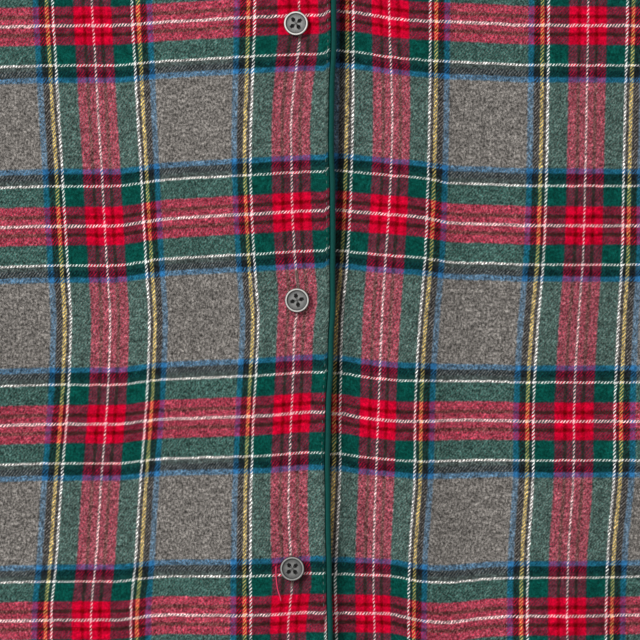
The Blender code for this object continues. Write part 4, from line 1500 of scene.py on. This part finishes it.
class StageSettings(bpy.types.PropertyGroup):
    """Floor, light and camera."""
    floor: colour_setting("Floor", "Pale floor", (0.72, 0.71, 0.69))
    ambient: FloatProperty(name="Ambient", description="Strength of the light from all round", default=0.50,
                           min=0.0, max=5.0)
    key: FloatProperty(name="Key", description="Power of the light from the upper left", default=194.0,
                       min=0.0, max=500.0, subtype="POWER", unit="POWER")
    camera_height: FloatProperty(name="Camera height", description="Camera above the surface", default=1.5,
                                 min=0.5, max=5.0, subtype="DISTANCE", unit="LENGTH")


class NIGHTSHIRT_OT_materials(bpy.types.Operator):
    """Make the flannel, piping, plastic, thread and floor materials"""
    bl_idname = "nightshirt.materials"
    bl_label = "Materials"

    def execute(self, context):
        trim = context.scene.nightshirt_trim
        build_speckle_group()
        build_twill_group()
        make_flannel(context.scene.nightshirt_flannel)
        make_piping_finish(trim)
        make_plastic(trim)
        for name, colour in (("buttonhole_thread", trim.hole_thread), ("seam_thread", trim.seam_thread),
                             ("button_sewing_thread", trim.button_thread),
                             ("loose_red_thread", trim.loose_thread)):
            make_thread_finish(name, colour)
        make_floor_paint(context.scene.nightshirt_stage.floor)
        return {"FINISHED"}


def lay_cloth(piece, node):
    """Hands a cloth piece over, dressed in the tartan flannel."""
    hand_over(piece, "tartan_flannel_cloth", node)


class NIGHTSHIRT_OT_back(bpy.types.Operator):
    """Lay the back panel"""
    bl_idname = "nightshirt.back"
    bl_label = "Back"

    def execute(self, context):
        lay_cloth(make_back(), "back")
        return {"FINISHED"}


class NIGHTSHIRT_OT_fronts(bpy.types.Operator):
    """Lay both fronts on the back, the right one over the left one"""
    bl_idname = "nightshirt.fronts"
    bl_label = "Fronts"

    def execute(self, context):
        left = make_front("front_left_cloth", 1, LEFT_LAP)
        lay_cloth(left, "front_left")
        right = make_front("front_right_cloth", -1, RIGHT_LAP)
        lay_cloth(right, "front_right")
        return {"FINISHED"}


class NIGHTSHIRT_OT_sleeves(bpy.types.Operator):
    """Lay both sleeves as flat tubes"""
    bl_idname = "nightshirt.sleeves"
    bl_label = "Sleeves"

    def execute(self, context):
        for name, side in (("sleeve_right", -1), ("sleeve_left", 1)):
            lay_cloth(make_sleeve(name + "_cloth", side), name)
        return {"FINISHED"}


class NIGHTSHIRT_OT_collar(bpy.types.Operator):
    """Lay the turn-down collar"""
    bl_idname = "nightshirt.collar"
    bl_label = "Collar"

    def execute(self, context):
        lay_cloth(make_collar(), "collar")
        return {"FINISHED"}


class NIGHTSHIRT_OT_piping(bpy.types.Operator):
    """Run the piping along the lap's edge"""
    bl_idname = "nightshirt.piping"
    bl_label = "Piping"

    def execute(self, context):
        hand_over(make_piping(), "green_piping_cloth", "placket_piping")
        return {"FINISHED"}


class NIGHTSHIRT_OT_buttons(bpy.types.Operator):
    """Sew the six buttons on"""
    bl_idname = "nightshirt.buttons"
    bl_label = "Buttons"

    def execute(self, context):
        shape = button_shape()
        for number in range(1, len(BUTTONS) + 1):
            mesh = shape.data.copy()
            pale = BUTTONS[number - 1].pale
            paleness = mesh.attributes.new("paleness", "FLOAT", "POINT")
            paleness.data.foreach_set("value", [button_tone_with_painted_light(v.co, pale) for v in mesh.vertices])
            mesh.transform(button_matrix(number))
            button = bpy.data.objects.new("button_%d_disc" % number, mesh)
            context.scene.collection.objects.link(button)
            hand_over(button, "smoke_plastic_button", "button_%d" % number)
            hand_over(make_button_thread(number), "button_sewing_thread")
        bpy.data.objects.remove(shape)
        return {"FINISHED"}


class NIGHTSHIRT_OT_stitching(bpy.types.Operator):
    """Sew the buttonholes, hems and edges, and leave one loose thread"""
    bl_idname = "nightshirt.stitching"
    bl_label = "Stitching"

    def execute(self, context):
        sewn = [(make_buttonhole(number), "buttonhole_thread") for number in range(1, len(BUTTONS) + 1)]
        sewn += [(make_hem_stitches(), "seam_thread"), (make_edge_stitches(), "seam_thread"),
                 (make_collar_stitches(), "seam_thread"), (make_loose_thread(), "loose_red_thread")]
        for piece, finish in sewn:
            hand_over(piece, finish)
        return {"FINISHED"}


class NIGHTSHIRT_OT_stage(bpy.types.Operator):
    """Set the pale floor, the soft light and the camera"""
    bl_idname = "nightshirt.stage"
    bl_label = "Stage"

    def execute(self, context):
        settings = context.scene.nightshirt_stage
        scene = context.scene
        deselect()
        bpy.ops.mesh.primitive_circle_add(vertices=96, radius=FLOOR_RADIUS, fill_type="NGON",
                                          location=(0, 0, FLOOR_LEVEL))
        floor = context.object
        floor.name = "pale_floor"
        bpy.ops.object.mode_set(mode="EDIT")
        bpy.ops.mesh.inset(thickness=FLOOR_RIM, depth=0.0)
        bpy.ops.object.mode_set(mode="OBJECT")
        dress(floor, "pale_floor_paint")

        world_light = bpy.data.worlds.new("soft_room")
        world_light.use_nodes = True
        background = world_light.node_tree.nodes["Background"]
        background.inputs["Color"].default_value = (1.0, 0.99, 0.98, 1.0)
        background.inputs["Strength"].default_value = settings.ambient
        scene.world = world_light

        bpy.ops.object.light_add(type="AREA", location=KEY_PLACE)
        key = context.object
        key.name = "key_light"
        key.data.shape = "DISK"
        key.data.size = KEY_SIZE
        key.data.energy = settings.key
        key.rotation_euler = (-key.location).to_track_quat("-Z", "Y").to_euler()

        bpy.ops.object.camera_add(location=(*VIEW_MIDDLE, settings.camera_height), rotation=(0, 0, 0))
        camera = context.object
        camera.name = "picture_camera"
        camera.data.sensor_width = SENSOR_WIDTH
        camera.data.lens = SENSOR_WIDTH * (settings.camera_height - VIEW_LEVEL) / VIEW_WIDTH
        camera.data.clip_start = 0.01
        scene.camera = camera
        scene.view_settings.view_transform = "Standard"
        scene.view_settings.look = "None"
        return {"FINISHED"}


STEPS = ("materials", "back", "fronts", "sleeves", "collar", "piping", "buttons", "stitching", "stage")


class NIGHTSHIRT_PT_panel(bpy.types.Panel):
    """Lists the steps that dress the nightshirt"""
    bl_idname = "NIGHTSHIRT_PT_panel"
    bl_label = "Nightshirt"
    bl_space_type = "VIEW_3D"
    bl_region_type = "UI"
    bl_category = "Nightshirt"

    def draw(self, context):
        for group in (context.scene.nightshirt_flannel, context.scene.nightshirt_trim,
                      context.scene.nightshirt_stage):
            box = self.layout.box()
            for name in group.bl_rna.properties.keys():
                if name not in ("rna_type", "name"):
                    box.prop(group, name)
        for step in STEPS:
            self.layout.operator("nightshirt." + step)


CLASSES = (
    FlannelSettings, TrimSettings, StageSettings, NIGHTSHIRT_OT_materials, NIGHTSHIRT_OT_back,
    NIGHTSHIRT_OT_fronts, NIGHTSHIRT_OT_sleeves, NIGHTSHIRT_OT_collar, NIGHTSHIRT_OT_piping,
    NIGHTSHIRT_OT_buttons, NIGHTSHIRT_OT_stitching, NIGHTSHIRT_OT_stage, NIGHTSHIRT_PT_panel,
)


def register():
    for entry in CLASSES:
        bpy.utils.register_class(entry)
    bpy.types.Scene.nightshirt_flannel = PointerProperty(type=FlannelSettings)
    bpy.types.Scene.nightshirt_trim = PointerProperty(type=TrimSettings)
    bpy.types.Scene.nightshirt_stage = PointerProperty(type=StageSettings)


def unregister():
    del bpy.types.Scene.nightshirt_stage
    del bpy.types.Scene.nightshirt_trim
    del bpy.types.Scene.nightshirt_flannel
    for entry in reversed(CLASSES):
        bpy.utils.unregister_class(entry)


def main():
    register()
    for step in STEPS:
        getattr(bpy.ops.nightshirt, step)()


if __name__ == "__main__":
    main()
